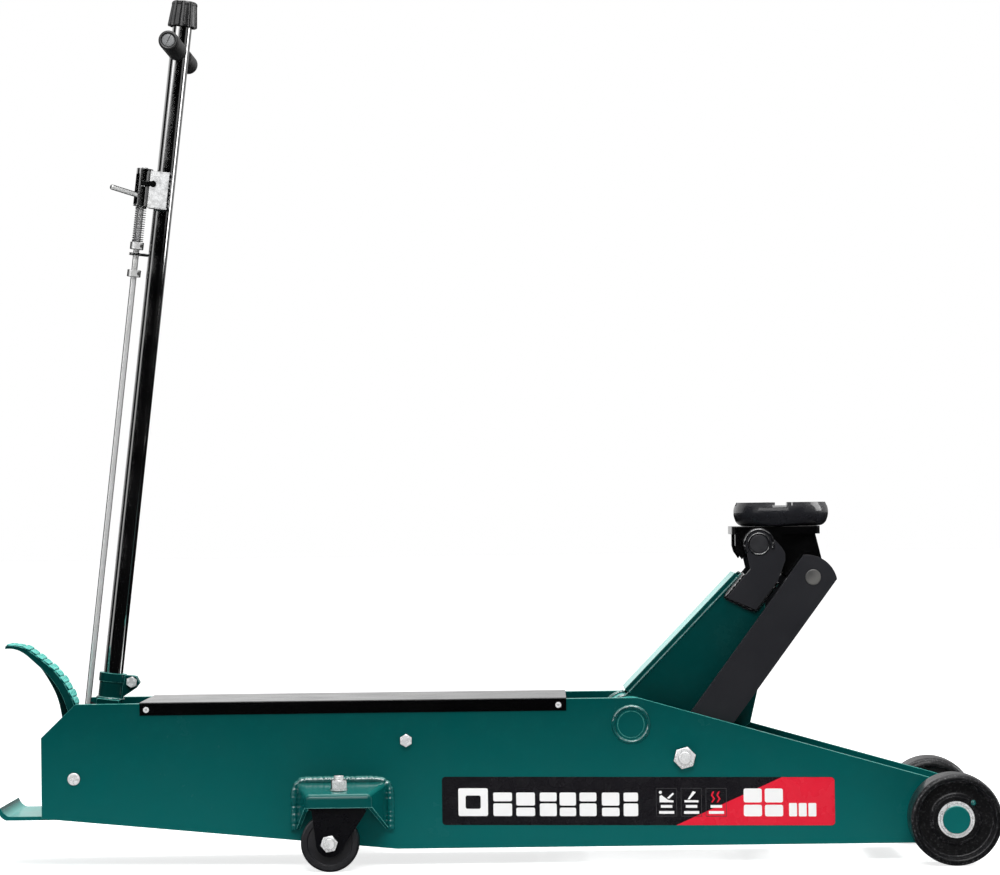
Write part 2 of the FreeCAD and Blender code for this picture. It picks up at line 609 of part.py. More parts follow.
# ================= saddle =================
# (radius, z), turned about the upright spigot
SADDLE_SECTION = [
    (0, 512), (SPIGOT_R, 512), (SPIGOT_R, SADDLE_Z0), (62, SADDLE_Z0), (72, 554, 77.5, 562),
    (80, 573, 77.5, 586.5), (75.5, 591), (51, 591), (48, 585), (0, 585),
]
saddle = outline(SADDLE_SECTION, lambda r, z: point(SADDLE_X + r, z))
saddle = saddle.revolve(point(SADDLE_X, 0), Z_DIR, 360)
NOTCH_W = 29.5
for deg in (0, 90):
    notch = Part.makeBox(200, NOTCH_W, 10, Vec(-100, -NOTCH_W / 2, 0))
    notch.rotate(Vec(0, 0, 0), Z_DIR, deg)
    notch.translate(point(SADDLE_X, 585.5))
    saddle = saddle.cut(notch)
for k in range(4):
    saddle = saddle.cut(cyl_z(polar((SADDLE_X, 0), 62, 45 + 90 * k), 5.0, 583, 595))
put("saddle_pad", saddle)

# ================= front wheels =================
# (radius, y)
WHEEL_SECTION = [
    (AXLE_R + RUN, WHEEL_IN), (36, WHEEL_IN), (38.5, WHEEL_IN + 7), (58, WHEEL_IN + 7),
    (60.5, WHEEL_IN), (63, WHEEL_IN), (70.78, WHEEL_IN + 3.22, 74, WHEEL_IN + 11),
    (WHEEL_R, (WHEEL_IN + WHEEL_OUT) / 2, 74.3, WHEEL_OUT - 6),
    (72.5, WHEEL_OUT - 1.75, 68.5, WHEEL_OUT), (66.2, WHEEL_OUT),
    (64.4, WHEEL_OUT - 0.9, 63.6, WHEEL_OUT - 3.5), (61.8, 196.6), (60.6, 194.6, 58, 193.9),
    (45, 193.6), (41, 194.6, 39, 196.8), (37, 198.3), (AXLE_R + RUN, 198.3),
]
put_sides("front_wheel", turned_y(WHEEL_SECTION, AXLE))

# ================= swivel casters =================
FORK_IN, FORK_OUT = 21, 26            # faces of the fork legs from the caster's middle
FORK_LEG = [
    (STEM_X - 44, 99), (STEM_X + 44, 99), (STEM_X + 43, 91), polar(CASTER_AXLE, 22, -30),
    polar(CASTER_AXLE, 22, -105) + polar(CASTER_AXLE, 22, 180), (STEM_X - 43, 91),
]
crown = cyl_z(STEM, 51.5, 97, 101).common(
    box(STEM_X - 52, STEM_X + 44, CASTER_Y - FORK_OUT, CASTER_Y + FORK_OUT, 96, 102)
)
fork = fuse(
    crown,
    cyl_z(STEM, 26.0, 97, 104),
    profile(FORK_LEG, CASTER_Y + FORK_IN, CASTER_Y + FORK_OUT),
    profile(FORK_LEG, CASTER_Y - FORK_OUT, CASTER_Y - FORK_IN),
)
fork = cut(
    fork,
    cyl_z(STEM, STEM_R + RUN, 90, 110),
    cyl_y(CASTER_AXLE, CASTER_AXLE_R, CASTER_Y - 40, CASTER_Y + 40),
)
put_sides("caster_fork", fork)

caster_axle = cyl_y(CASTER_AXLE, CASTER_AXLE_R, CASTER_Y - 29, CASTER_Y + 36.5)
caster_axle = soften(
    caster_axle, 1.0, lambda edge: end_ring(edge) and edge.BoundBox.YMin > CASTER_Y
)
caster_axle = fuse(
    caster_axle,
    hex_y(CASTER_AXLE, CASTER_Y + FORK_OUT, CASTER_Y + 33.5, 25.0, 10),
    hex_y(CASTER_AXLE, CASTER_Y - 33.5, CASTER_Y - FORK_OUT, 25.0, 10, -1),
)
put_sides("caster_axle", caster_axle)

# (radius, distance out from the caster's middle)
CASTER_SECTION = [
    (CASTER_AXLE_R + RUN, -20), (16, -20), (17, -17), (36, -16), (37.5, -17.7), (44, -17.7),
    (46.62, -16.62, 47.7, -14), (CASTER_R, 0, 47.7, 14), (46.62, 16.62, 44, 17.7),
    (37.5, 17.7), (36, 16), (17, 17), (16, 20), (CASTER_AXLE_R + RUN, 20),
]
put_sides("caster_wheel", turned_y(CASTER_SECTION, CASTER_AXLE, CASTER_Y))

# ================= handle, in the handle frame =================
# forked socket: two legs on the pivot, a finger on the left one, and a split clamp in front
PIVOT = (0, 0)
LEG_IN, LEG_OUT = 22, 34
TUBE_FOOT, SOCKET_TOP = 76, 117.4
CLAMP = (34.3, 105.8)
finger_deg = 270 - FINGER_DEG + TILT
finger_tip = polar(PIVOT, FINGER_R, finger_deg)
leg = h_profile([(-14, 0), (-14, 72), (14, 72), (14, 0)], LEG_IN, LEG_OUT)
leg = leg.fuse(h_cyl_y(PIVOT, 17.5, LEG_IN, LEG_OUT))
FINGER_CORNERS = [(0, -6), (FINGER_R, -6), (FINGER_R, 6), (0, 6)]    # along, to the right
finger = h_profile(
    [offset(PIVOT, finger_deg, *corner) for corner in FINGER_CORNERS], LEG_IN, LEG_OUT
).fuse(h_cyl_y(finger_tip, FINGER_NOSE, LEG_IN, LEG_OUT))
CLAMP_OUTLINE = [
    (12, 115.5), (33, 116.8), (40.5, 116), (47.2, 106), (41.5, 96), (18, 76.5), (12, 76.5),
]
socket = leg.fuse([
    finger,
    mirrored(leg),
    h_box(-19, 19, -LEG_OUT, LEG_OUT, 52, 74),
    h_cyl_z(0, 21.3, 60, SOCKET_TOP),
    h_cyl_z(0, 23.0, 103.0, SOCKET_TOP),
    h_profile(CLAMP_OUTLINE, -9, 9),
]).removeSplitter()
socket = cut(
    socket,
    h_cyl_z(0, HANDLE_R, TUBE_FOOT, 120),
    h_cyl_z(0, 7.0, 40, 80),
    h_cyl_y(PIVOT, HANDLE_STUD_R + RUN, -40, 40),
    h_box(14, 50, -1.6, 1.6, 70, 120),
    h_cyl_y(CLAMP, CLAMP_R, -30, 30),
)
put("handle_socket", lean(socket))

CLAMP_HEX_R = 9.8
clamp_hex = hexagon(CLAMP, CLAMP_HEX_R, 30)
tip = Part.makeCone(8.0, CLAMP_HEX_R, 1.1, Vec(CLAMP[0], -16, CLAMP[1]), Y_DIR)
tip = tip.fuse(h_cyl_y(CLAMP, CLAMP_HEX_R, -14.9, -9))
clamp_bolt = fuse(
    h_cyl_y(CLAMP, CLAMP_R, -9, 18),
    h_profile(clamp_hex, -16, -9).common(tip),
    h_profile(clamp_hex, 9, 15),
)
put("clamp_bolt", lean(clamp_bolt))

CROSS_BAR, CROSS_BAR_R, GRIP_R = (0, 1174.8), 11.0, 16.5


def bar_end(reach):
    """One end of the cross bar and its grip, reach mm out from the handle's middle."""
    stub = cut(
        h_cyl_y(CROSS_BAR, CROSS_BAR_R, 0, reach),
        h_cyl_z(0, 14.0, 1100, 1212),
        h_cyl_y(CROSS_BAR, 8.0, 10, reach + 2),
    )
    stub = fuse(stub, h_cyl_y(CROSS_BAR, 8.5, 20, 24))
    grip = cut(
        h_cyl_y(CROSS_BAR, GRIP_R, 38, reach + 2), h_cyl_y(CROSS_BAR, CROSS_BAR_R, 30, reach)
    )

    def outer_rim(edge):
        return edge.BoundBox.YMin > reach + 1.9 and edge.BoundBox.XLength > 30

    return stub, soften(grip, 3.0, outer_rim)


left_stub, left_grip = bar_end(138.0)
right_stub, right_grip = bar_end(166.0)
tube = cut(
    h_cyl_z(0, HANDLE_R, TUBE_FOOT, 1226), h_cyl_z(0, 13.0, 75, 1214), h_cyl_z(0, 6.0, 1200, 1230)
)
put("handle_tube", lean(fuse(tube, left_stub, mirrored(right_stub))))
put("cross_bar_grips", lean(left_grip), lean(mirrored(right_grip)))

# guide tube of the lock rod, windowed for the finger lever, and the eye below it
LEVER_TURN = 42.0         # lever points this far round from straight back towards the right
GUIDE_R = 14.0
EYE_Z0, EYE_Z1 = 826.0, 830.0
NOTCH_Z0, NOTCH_Z1 = 944, 952.5
handle_space = h_cyl_z(0, HANDLE_R, 700, 1100)
window = h_box(LOCK_X - 30, LOCK_X, -5.2, 5.2, 912.5, 964)
window.rotate(Vec(LOCK_X, 0, 0), Z_DIR, LEVER_TURN)
guide = cut(
    h_cyl_z(LOCK_X, GUIDE_R, 910, 974),
    h_cyl_z(LOCK_X, 10.2, 912.5, 971.0),
    h_cyl_z(LOCK_X, LOCK_ROD_R + RUN, 900, 990),
    window,
    h_box(LOCK_X - 4, LOCK_X + 20, -20, -3, NOTCH_Z0, NOTCH_Z1),
)
eye = h_box(LOCK_X - 1, 0, -10, 10, EYE_Z0, EYE_Z1).fuse(h_cyl_z(LOCK_X, 12, EYE_Z0, EYE_Z1))
eye = cut(eye, h_cyl_z(LOCK_X, LOCK_ROD_R + RUN, 800, 850), handle_space)
put("lock_guide_tube", lean(guide), lean(eye))

# angle plate that joins the guide tube to the handle
guide_plate = h_box(-24.5, 7.5, -20.5, -HANDLE_R, 907.5, 970.5)
guide_plate = cut(
    guide_plate.fuse(h_box(-24.5, -13.0, -HANDLE_R - 1, 2.0, 907.5, 970.5)),
    h_cyl_z(LOCK_X, GUIDE_R, 880, 990),
    handle_space,
    h_box(-40, -18.5, -30, -8, NOTCH_Z0, NOTCH_Z1),
    h_cyl_y((-18.5, 948.2), 5.6, -30, -8),
)
put("lock_guide_plate", lean(guide_plate))
put("lock_spring", lean(cut(h_cyl_z(LOCK_X, 9.0, 848.5, 909.8), h_cyl_z(LOCK_X, 6.0, 840, 915))))

# release knob, (radius, z), with ten flutes
KNOB_SECTION = [
    (0, 1229), (20.6, 1229), (20.6, 1220.5), (24.2, 1220.5), (25, 1221.5), (25, 1224),
    (21.6, 1257), (21.2, 1261.6, 17.4, 1264.4), (9, 1265), (0, 1265),
]
knob = outline(KNOB_SECTION, lambda r, z: Vec(r, 0, z)).revolve(Vec(0, 0, 0), Z_DIR, 360)
for k in range(10):
    x, y = polar((0, 0), 1.0, 36.0 * k + 18)
    inward = Vec(-4.6 * x / 50, -4.6 * y / 50, 1)
    knob = knob.cut(Part.makeCone(5.4, 4.6, 50, Vec(28.2 * x, 28.2 * y, 1216), inward))
put("release_knob", lean(knob.cut(h_cyl_z(0, RELEASE_ROD_R, 1215, 1245))))

# long release rod, ending in a knuckle at the handle pivot, and the forked spindle it turns
KNUCKLE_R = 9.0
rod = h_cyl_z(0, RELEASE_ROD_R, 5, 1245).fuse(h_cyl_y(PIVOT, KNUCKLE_R, -6.5, 6.5))
put("release_rod", lean(rod.cut(h_cyl_y(PIVOT, KNUCKLE_PIN_R + RUN, -10, 10))))
spindle = h_cyl_y(PIVOT, KNUCKLE_R, 7, 12).fuse([
    h_cyl_y(PIVOT, KNUCKLE_R, -12, -7),
    h_box(-KNUCKLE_R, KNUCKLE_R, 7, 12, -16, 0),
    h_box(-KNUCKLE_R, KNUCKLE_R, -12, -7, -16, 0),
    h_cyl_z(0, 13.5, -22, -12),
    h_cyl_z(0, SPINDLE_R, -90, -20),
    h_cyl_y(PIVOT, KNUCKLE_PIN_R, -12, 12),
]).removeSplitter()
put("release_valve_spindle", lean(spindle))

# lock rod with its collars, cross pin and finger lever
lock_rod = fuse(
    h_cyl_z(LOCK_X, LOCK_ROD_R, LOCK_PIN_Z - 6, 976),
    h_cyl_z(LOCK_X, 11.5, 789.5, 801.0),
    h_cyl_z(LOCK_X, 11.5, 836.3, 848.3),
    h_cyl_y((LOCK_X, LOCK_PIN_Z), 6.0, -7, 48),
)
LEVER_RISE = math.radians(8.2)
back, right = polar((0, 0), math.cos(LEVER_RISE), LEVER_TURN)
lever_dir = Vec(-back, -right, math.sin(LEVER_RISE) * 0.8)
lever = Part.makeCylinder(4.4, 66, Vec(LOCK_X, 0, 926.8), lever_dir)
lever = soften(lever, 2.4, lambda edge: edge.BoundBox.XMax < LOCK_X - 40)
put("lock_rod", lean(fuse(lock_rod, lever)))

# ================= foot pedal =================
# outer face of the tread, from its rear tip down
TREAD = [
    (-1566, 368), (-1536, 364), (-1513, 349), (-1488, 328), (-1470, 306), (-1457, 281),
    (-1450.5, 262),
]
TREAD_T = 3.5
FLANGE_DEPTHS = (5.0, 7.0, 9.5, 11.5, 12.5, 13.0, 13.0)    # one for each tread point


def shifted(points, depths):
    """Points moved square to their run; depths is one value or one for each point."""
    moved = []
    for i, (x, z) in enumerate(points):
        before, after = points[max(0, i - 1)], points[min(len(points) - 1, i + 1)]
        dx, dz = after[0] - before[0], after[1] - before[1]
        run = math.hypot(dx, dz)
        depth = depths[i] if isinstance(depths, tuple) else depths
        moved.append((x + dz / run * depth, z - dx / run * depth))
    return moved


def curve(points, y):
    spline = Part.BSplineCurve()
    spline.interpolate([point(x, z, y) for x, z in points])
    return spline.toShape()


def line(start, end, y):
    return Part.LineSegment(point(*start, y), point(*end, y)).toShape()


def slab(edges, width):
    return Part.Face(Part.Wire(Part.__sortEdges__(edges))).extrude(Y_DIR * width)


def strip(depth0, depth1, y0, y1):
    """Curved strip between two depths from the tread's outer face."""
    near, far = shifted(TREAD, depth0), shifted(TREAD, depth1)
    return slab([
        curve(near, y0), line(near[-1], far[-1], y0), curve(far, y0), line(far[0], near[0], y0),
    ], y1 - y0)


tread = fuse(
    strip(0, TREAD_T, -93, -37),
    strip(3.0, FLANGE_DEPTHS, -93, -90),
    strip(3.0, FLANGE_DEPTHS, -40, -37),
)
put("pedal_tread", tread)

# pedal arm: a web under the tread, the hub and the finger
WEB_Y0, WEB_Y1 = -68, -58
under_tread = shifted(TREAD, TREAD_T)[1:]
web_foot = [under_tread[-1], (-1438, 200), (-1434, 150), (-1469, 150), (-1471, 200)]
WEB_REAR = [
    (-1471, 200), (-1477, 252), (-1485, 284), (-1497, 308), (-1517, 337), (-1535, 353),
]
edges = [curve(under_tread, WEB_Y0)]
edges += [line(start, end, WEB_Y0) for start, end in zip(web_foot, web_foot[1:])]
edges += [curve(WEB_REAR, WEB_Y0), line(WEB_REAR[-1], under_tread[0], WEB_Y0)]
tip_x, tip_z = PEDAL_TIP
pedal_finger = fuse(
    profile(
        [(PEDAL_X - 5, PEDAL_Z), (tip_x - 6, tip_z), (tip_x + 6, tip_z), (PEDAL_X + 5, PEDAL_Z)],
        -76, -64,
    ),
    cyl_y(PEDAL_TIP, PEDAL_NOSE, -76, -64),
)
pedal_arm = fuse(slab(edges, WEB_Y1 - WEB_Y0), cyl_y(PEDAL_PIN, 18, -91, -52), pedal_finger)
put("pedal_arm", cut(pedal_arm, cyl_y(PEDAL_PIN, PEDAL_PIN_R + RUN, -100, -40), tread))


# ================= pump plungers =================
def plunger(y, z, x0, x1):
    """Plunger with its rear end rounded."""
    shape = cyl_x(y, z, PLUNGER_R, x0, x1)
    return soften(shape, 1.5, lambda edge: edge.BoundBox.XMax < AXLE_X + x0 + 0.1)


handle_x0 = FINGER_TIP[0] + FINGER_NOSE + 0.7
put("pump_plunger", plunger(PLUNGER_Y, PLUNGER_Z, handle_x0, -1310))
pedal_x0 = PEDAL_TIP[0] + PEDAL_NOSE + 0.3
put("pedal_plunger", plunger(PEDAL_PLUNGER_Y, PEDAL_PLUNGER_Z, pedal_x0, -1335))
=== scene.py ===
"""A wheeled floor jack with an upright handle: looks, small detail and studio.

The jack lies along x with its front at +x; its right side is -y, its left side +y, and the
floor is z = 0. Places are in millimetres and point() or handle_point() turns them into metres;
wire, weld and shader sizes are in metres.
"""
import json
import math
import random

import bmesh
import bpy
from mathutils import Matrix, Vector

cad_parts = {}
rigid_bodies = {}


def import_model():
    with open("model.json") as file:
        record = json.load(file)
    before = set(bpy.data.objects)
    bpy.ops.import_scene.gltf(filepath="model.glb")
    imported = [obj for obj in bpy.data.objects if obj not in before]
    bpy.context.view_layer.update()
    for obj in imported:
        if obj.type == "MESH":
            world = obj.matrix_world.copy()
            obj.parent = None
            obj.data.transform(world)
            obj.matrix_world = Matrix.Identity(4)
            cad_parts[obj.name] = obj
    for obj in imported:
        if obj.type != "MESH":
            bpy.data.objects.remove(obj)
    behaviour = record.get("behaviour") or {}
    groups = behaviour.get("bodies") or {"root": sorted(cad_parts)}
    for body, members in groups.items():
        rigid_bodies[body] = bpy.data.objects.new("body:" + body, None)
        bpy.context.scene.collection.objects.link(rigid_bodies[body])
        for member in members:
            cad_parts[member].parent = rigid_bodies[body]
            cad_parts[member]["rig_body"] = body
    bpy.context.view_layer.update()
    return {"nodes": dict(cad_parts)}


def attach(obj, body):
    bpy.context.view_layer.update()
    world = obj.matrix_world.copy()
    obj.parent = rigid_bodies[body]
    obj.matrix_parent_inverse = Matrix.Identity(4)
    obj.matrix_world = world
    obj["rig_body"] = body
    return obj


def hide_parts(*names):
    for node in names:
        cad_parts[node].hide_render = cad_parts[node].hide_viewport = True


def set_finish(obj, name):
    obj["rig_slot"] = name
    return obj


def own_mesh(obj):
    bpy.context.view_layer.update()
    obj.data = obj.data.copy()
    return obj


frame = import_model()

PIECES = frame["nodes"]
scene = bpy.context.scene
random.seed(7)

# ------------------------------------------------------------------ places, mm

FRONT_AXLE_X = 753.0
DATUM_Z = 4.0  # frame datum above the floor
SIDES = ((-1, "right"), (1, "left"))  # sign of y, name

# (u, z): ahead of the front axle, above the datum
ARM_SHAFT = (-525, 226)
SADDLE_PIN = (-306.1, 521.8)
WHEEL_CENTRE = (0.0, 71)
SPRING_ANCHOR = (-871.0, 207.0)
PLATE_Y = 107.5  # outer face of the side plates
ARM_WELD_Y = 62.5
LOCK_ROD_X = -37.3  # from the handle's axis
CROSS_BAR_S = 1174.8  # up the handle


def point(u, z, y=0.0):
    """Place ahead of the front axle, above the datum and across."""
    return Vector(((FRONT_AXLE_X + u) / 1000.0, y / 1000.0, (DATUM_Z + z) / 1000.0))


HANDLE_TILT = math.radians(6.743)
HANDLE_PIVOT = point(-1412.1, 200.0)


def handle_point(x, s, y=0.0):
    """Place ahead of the handle's axis, up the handle from its pivot and across."""
    c, n = math.cos(HANDLE_TILT), math.sin(HANDLE_TILT)
    return HANDLE_PIVOT + Vector((x * c + s * n, y, -x * n + s * c)) / 1000.0


# ------------------------------------------------------------------ node graphs


class Graph:
    """Builds a node tree. A value may be a number, a colour or another node's socket."""

    def __init__(self, tree):
        self.tree = tree

    def feed(self, socket, value):
        if hasattr(value, "is_output"):
            self.tree.links.new(value, socket)
        elif isinstance(value, tuple):
            socket.default_value = (*value, 1)
        else:
            socket.default_value = value

    def add(self, kind, inputs=None, **settings):
        node = self.tree.nodes.new("ShaderNode" + kind)
        for name, value in settings.items():
            setattr(node, name, value)
        for key, value in (inputs or {}).items():
            self.feed(node.inputs[key], value)
        return node

    def math(self, operation, a, b=0.0, c=None, clamp=False):
        inputs = {0: a, 1: b}
        if c is not None:
            inputs[2] = c
        return self.add("Math", inputs, operation=operation, use_clamp=clamp).outputs[0]

    def times(self, a, b):
        return self.math("MULTIPLY", a, b)

    def ramp(self, source, *stops):
        """Grey ramp through stops of (position, grey)."""
        node = self.add("ValToRGB")
        elements = node.color_ramp.elements
        while len(elements) < len(stops):
            elements.new(0.5)
        for i, (position, grey) in enumerate(stops):
            elements[i].position = position
            elements[i].color = (grey, grey, grey, 1)
        self.feed(node.inputs["Fac"], source)
        return node.outputs["Color"]


class Material(Graph):
    def __init__(self, name):
        self.material = bpy.data.materials.new(name)
        self.material.use_nodes = True
        super().__init__(self.material.node_tree)
        self.output = self.first("OUTPUT_MATERIAL")
        self.shader = self.first("BSDF_PRINCIPLED")
        self.object_coord = None

    def first(self, kind):
        return next(node for node in self.tree.nodes if node.type == kind)

    def coord(self):
        if self.object_coord is None:
            self.object_coord = self.add("TexCoord").outputs["Object"]
        return self.object_coord

    def set(self, values):
        for name, value in values.items():
            self.feed(self.shader.inputs[name], value)

    def noise(self, scale, detail, rough, coord=None):
        inputs = {
            "Scale": scale,
            "Detail": detail,
            "Roughness": rough,
            "Vector": coord or self.coord(),
        }
        return self.add("TexNoise", inputs).outputs["Fac"]

    def patches(self, noise, low, high):
        """Noise of (scale, detail, roughness), mapped from low to high, each (noise, grey)."""
        return self.ramp(self.noise(*noise), low, high)

    def mix(self, factor, a, b):
        return self.add("Mix", {0: factor, 6: a, 7: b}, data_type="RGBA").outputs[2]

    def rounded(self, radius):
        return self.add("Bevel", {"Radius": radius}, samples=4).outputs["Normal"]

    def edge(self, radius):
        """Mask of corners: how far a rounded normal leans away from the surface's own."""
        inputs = {0: self.rounded(radius), 1: self.add("NewGeometry").outputs["Normal"]}
        lean = self.add("VectorMath", inputs, operation="DOT_PRODUCT").outputs["Value"]
        return self.ramp(lean, (0.86, 1.0), (0.985, 0.0))

    def part_of(self, vector, axis):
        return self.add("SeparateXYZ", {0: vector}).outputs[axis]

    def facing_up(self, low, high):
        up = self.part_of(self.add("NewGeometry").outputs["Normal"], "Z")
        return self.ramp(up, (low, 0.0), (high, 1.0))

    def facing_out(self):
        """1 on faces square to the y axis, 0 on the others."""
        across = self.part_of(self.add("NewGeometry").outputs["True Normal"], "Y")
        return self.ramp(self.math("ABSOLUTE", across), (0.93, 0.0), (0.99, 1.0))

    def by_height(self, bottom, top):
        """0 at the bottom height to 1 at the top one, in metres."""
        height = self.part_of(self.coord(), "Z")
        inputs = {"From Min": bottom, "From Max": top, "Value": height}
        return self.add("MapRange", inputs).outputs[0]

    def glancing(self, low, high, amount=1.0):
        """Mask that grows to amount where the surface is seen nearly edge on."""
        facing = self.add("LayerWeight", {"Blend": 0.5}).outputs["Facing"]
        return self.ramp(facing, (low, 0.0), (high, amount))

    def dark_rim(self, low, high, amount):
        """Darkens glancing edges, as bright metal shows the dark room beyond its lit side."""
        mask = self.glancing(low, high, amount)
        dark = self.add("BsdfDiffuse", {"Color": (0.012, 0.012, 0.013)})
        inputs = {0: mask, 1: self.shader.outputs[0], 2: dark.outputs[0]}
        self.feed(self.output.inputs["Surface"], self.add("MixShader", inputs).outputs[0])

    def bumps(self, *layers, bevel=0.0):
        """Chain of bumps, each (height, strength, distance in m), on corners rounded by bevel."""
        normal = self.rounded(bevel) if bevel > 0 else None
        for height, strength, distance in layers:
            inputs = {"Strength": strength, "Distance": distance, "Height": height}
            if normal is not None:
                inputs["Normal"] = normal
            normal = self.add("Bump", inputs).outputs["Normal"]
        self.set({"Normal": normal})


# ------------------------------------------------------------------ kinds of material


def scaled(colour, factor):
    return tuple(factor * v for v in colour)


def enamel(name, base, dark, pale, rough, coat, peel, bevel, edge=None, edge_wear_sheen_weight=0.0,
           top=None, top_weight=0.0, low=None, spec=0.5, ior=1.3, up=(0.35, 0.9), sheen_at_glance=False):
    """Sprayed enamel: slow drift, orange peel, corners worn and painted with a highlight, dust
    nibs, and a sheen painted on upward faces as a painted reflection.

    low is a lighter colour painted near the floor as painted light; the glancing option keeps
    the painted sheen to surfaces seen nearly edge on.
    """
    k = Material(name)
    drift = k.patches(noise=(2.2, 3, 0.5), low=(0.3, 0.0), high=(0.72, 1.0))
    colour = k.mix(drift, base, dark)
    # lighter colour towards the floor: painted light, not a change in the paint
    if low:
        colour = k.mix(k.by_height(bottom=0.03, top=0.27), low, colour)
    mottle = k.patches(noise=(60, 5, 0.6), low=(0.5, 0.0), high=(0.85, 0.08))
    colour = k.mix(mottle, colour, pale)
    # upward faces take the top colour: a painted sheen standing for the lights above
    if top:
        painted_sheen = k.times(k.facing_up(*up), top_weight)
        if sheen_at_glance:
            painted_sheen = k.times(painted_sheen, k.glancing(low=0.80, high=0.92))
        colour = k.mix(painted_sheen, colour, top)
    # corners take the edge colour: chipped wear mixed with a painted highlight
    if edge:
        chips = k.patches(noise=(190, 5, 0.7), low=(0.3, 0.45), high=(0.62, 1.0))
        wear_and_sheen = k.math("MULTIPLY", k.edge(radius=bevel * 1.1), chips, clamp=True)
        colour = k.mix(k.times(wear_and_sheen, edge_wear_sheen_weight), colour, edge)
    nibs = k.patches(noise=(1100, 2, 0.5), low=(0.66, 0.0), high=(0.74, 1.0))
    colour = k.mix(k.times(nibs, 0.10), colour, pale)
    k.set({
        "Base Color": colour,
        "Roughness": k.patches(
            noise=(14, 5, 0.6), low=(0.3, rough - 0.05), high=(0.7, rough + 0.09)),
        "Coat Weight": coat,
        "Coat Roughness": 0.05,
        "Coat IOR": ior,
        "IOR": ior,
        "Specular IOR Level": spec,
    })
    orange_peel = k.noise(scale=330, detail=2, rough=0.5)
    waves = k.noise(scale=26, detail=3, rough=0.5)
    k.bumps((orange_peel, peel, 0.0004), (waves, 0.08, 0.0012), bevel=bevel)
    return k.material


def casting(name, base, pale, rough, glint_speck, side=0.0, grain_scale=280, coat=0.4):
    """Painted rough casting: sandy grain with pale specks painted as glints, pits, and outer
    faces painted darker as shade.
    """
    k = Material(name)
    grain = k.noise(scale=grain_scale, detail=5, rough=0.7)
    # pale specks on the grain: painted glints
    colour = k.mix(k.ramp(grain, (0.54, 0.0), (0.63, glint_speck)), base, pale)
    colour = k.mix(k.times(k.edge(radius=0.0014), 0.22), colour, pale)
    # faces square to y darkened: painted shade
    colour = k.mix(k.times(k.facing_out(), side), colour, scaled(base, 0.3))
    k.set({
        "Base Color": colour,
        "IOR": 1.35,
        "Coat IOR": 1.35,
        "Roughness": k.patches(
            noise=(60, 4, 0.6), low=(0.3, rough - 0.08), high=(0.7, rough + 0.1)),
        "Coat Weight": coat,
        "Coat Roughness": 0.07,
        "Specular IOR Level": 0.3,
    })
    pits = k.add("TexVoronoi", {"Scale": 320, "Vector": k.coord()}).outputs["Distance"]
    k.bumps((grain, 0.55, 0.0008), (pits, 0.3, 0.0006), bevel=0.0014)
    return k.material


def zinc(name, base, rough=0.26, blotch=0.5, line_scale=(60, 900, 60), metal=0.6,
         rim=1.0, rim_low=0.6, rim_high=0.92):
    """Bright plated steel: faint blotches, fine machining lines, corners darkened as painted
    shade, dark glancing edges as a painted reflection.
    """
    k = Material(name)
    blotches = k.patches(noise=(90, 6, 0.7), low=(0.42, 0.0), high=(0.66, 1.0))
    colour = k.mix(k.times(blotches, blotch), base, scaled(base, 0.42))
    tint = k.patches(noise=(14, 3, 0.5), low=(0.45, 0.0), high=(0.7, 1.0))
    colour = k.mix(k.times(tint, 0.25), colour, (0.74, 0.73, 0.68))
    # corners darkened: a painted shadow ring
    colour = k.mix(k.times(k.edge(radius=0.0011), 0.8), colour, scaled(base, 0.12))
    k.set({
        "Base Color": colour,
        "Metallic": metal,
        "Roughness": k.patches(
            noise=(110, 4, 0.6), low=(0.3, rough - 0.06), high=(0.7, rough + 0.1)),
    })
    mapping = k.add("Mapping", {"Vector": k.coord()})
    mapping.inputs["Scale"].default_value = line_scale
    lines = k.noise(scale=1.0, detail=3, rough=0.6, coord=mapping.outputs["Vector"])
    k.bumps((lines, 0.12, 0.0003), bevel=0.0005)
    k.dark_rim(rim_low, rim_high, rim)
    return k.material


def plastic(name, base, pale, rough, grain=0.2, grain_scale=700):
    k = Material(name)
    drift = k.patches(noise=(24, 4, 0.6), low=(0.35, 0.0), high=(0.75, 1.0))
    colour = k.mix(drift, base, pale)
    edge_colour = tuple(min(1, v * 3 + 0.02) for v in pale)
    colour = k.mix(k.times(k.edge(radius=0.0009), 0.35), colour, edge_colour)
    k.set({
        "Base Color": colour,
        "Roughness": k.patches(
            noise=(50, 4, 0.6), low=(0.3, rough - 0.07), high=(0.7, rough + 0.1)),
    })
    k.bumps((k.noise(scale=grain_scale, detail=3, rough=0.6), grain, 0.0004), bevel=0.0008)
    return k.material


def vinyl(name, base, second, rough=0.32):
    """Printed film: even colour with faint print grain and tiny bubbles."""
    k = Material(name)
    drift = k.patches(noise=(5, 2, 0.5), low=(0.3, 0.0), high=(0.7, 1.0))
    colour = k.mix(drift, base, second)
    print_grain = k.patches(noise=(1400, 2, 0.5), low=(0.55, 0.0), high=(0.7, 1.0))
    colour = k.mix(k.times(print_grain, 0.06), colour, (0.6, 0.6, 0.6))
    k.set({
        "Base Color": colour,
        "Roughness": k.patches(
            noise=(40, 3, 0.5), low=(0.3, rough - 0.04), high=(0.7, rough + 0.08)),
        "Coat Weight": 0.3,
        "Coat Roughness": 0.12,
        "IOR": 1.35,
        "Coat IOR": 1.35,
    })
    k.bumps((k.noise(scale=90, detail=3, rough=0.5), 0.05, 0.0003))
    return k.material


# ------------------------------------------------------------------ the materials

TEAL = (0.0001, 0.060, 0.0575)
TEAL_DARK = (0.0001, 0.054, 0.052)
# lighter teal painted near the floor as painted light
TEAL_BOUNCE_LIT = (0.0030, 0.116, 0.112)
TEAL_PALE = (0.004, 0.16, 0.15)
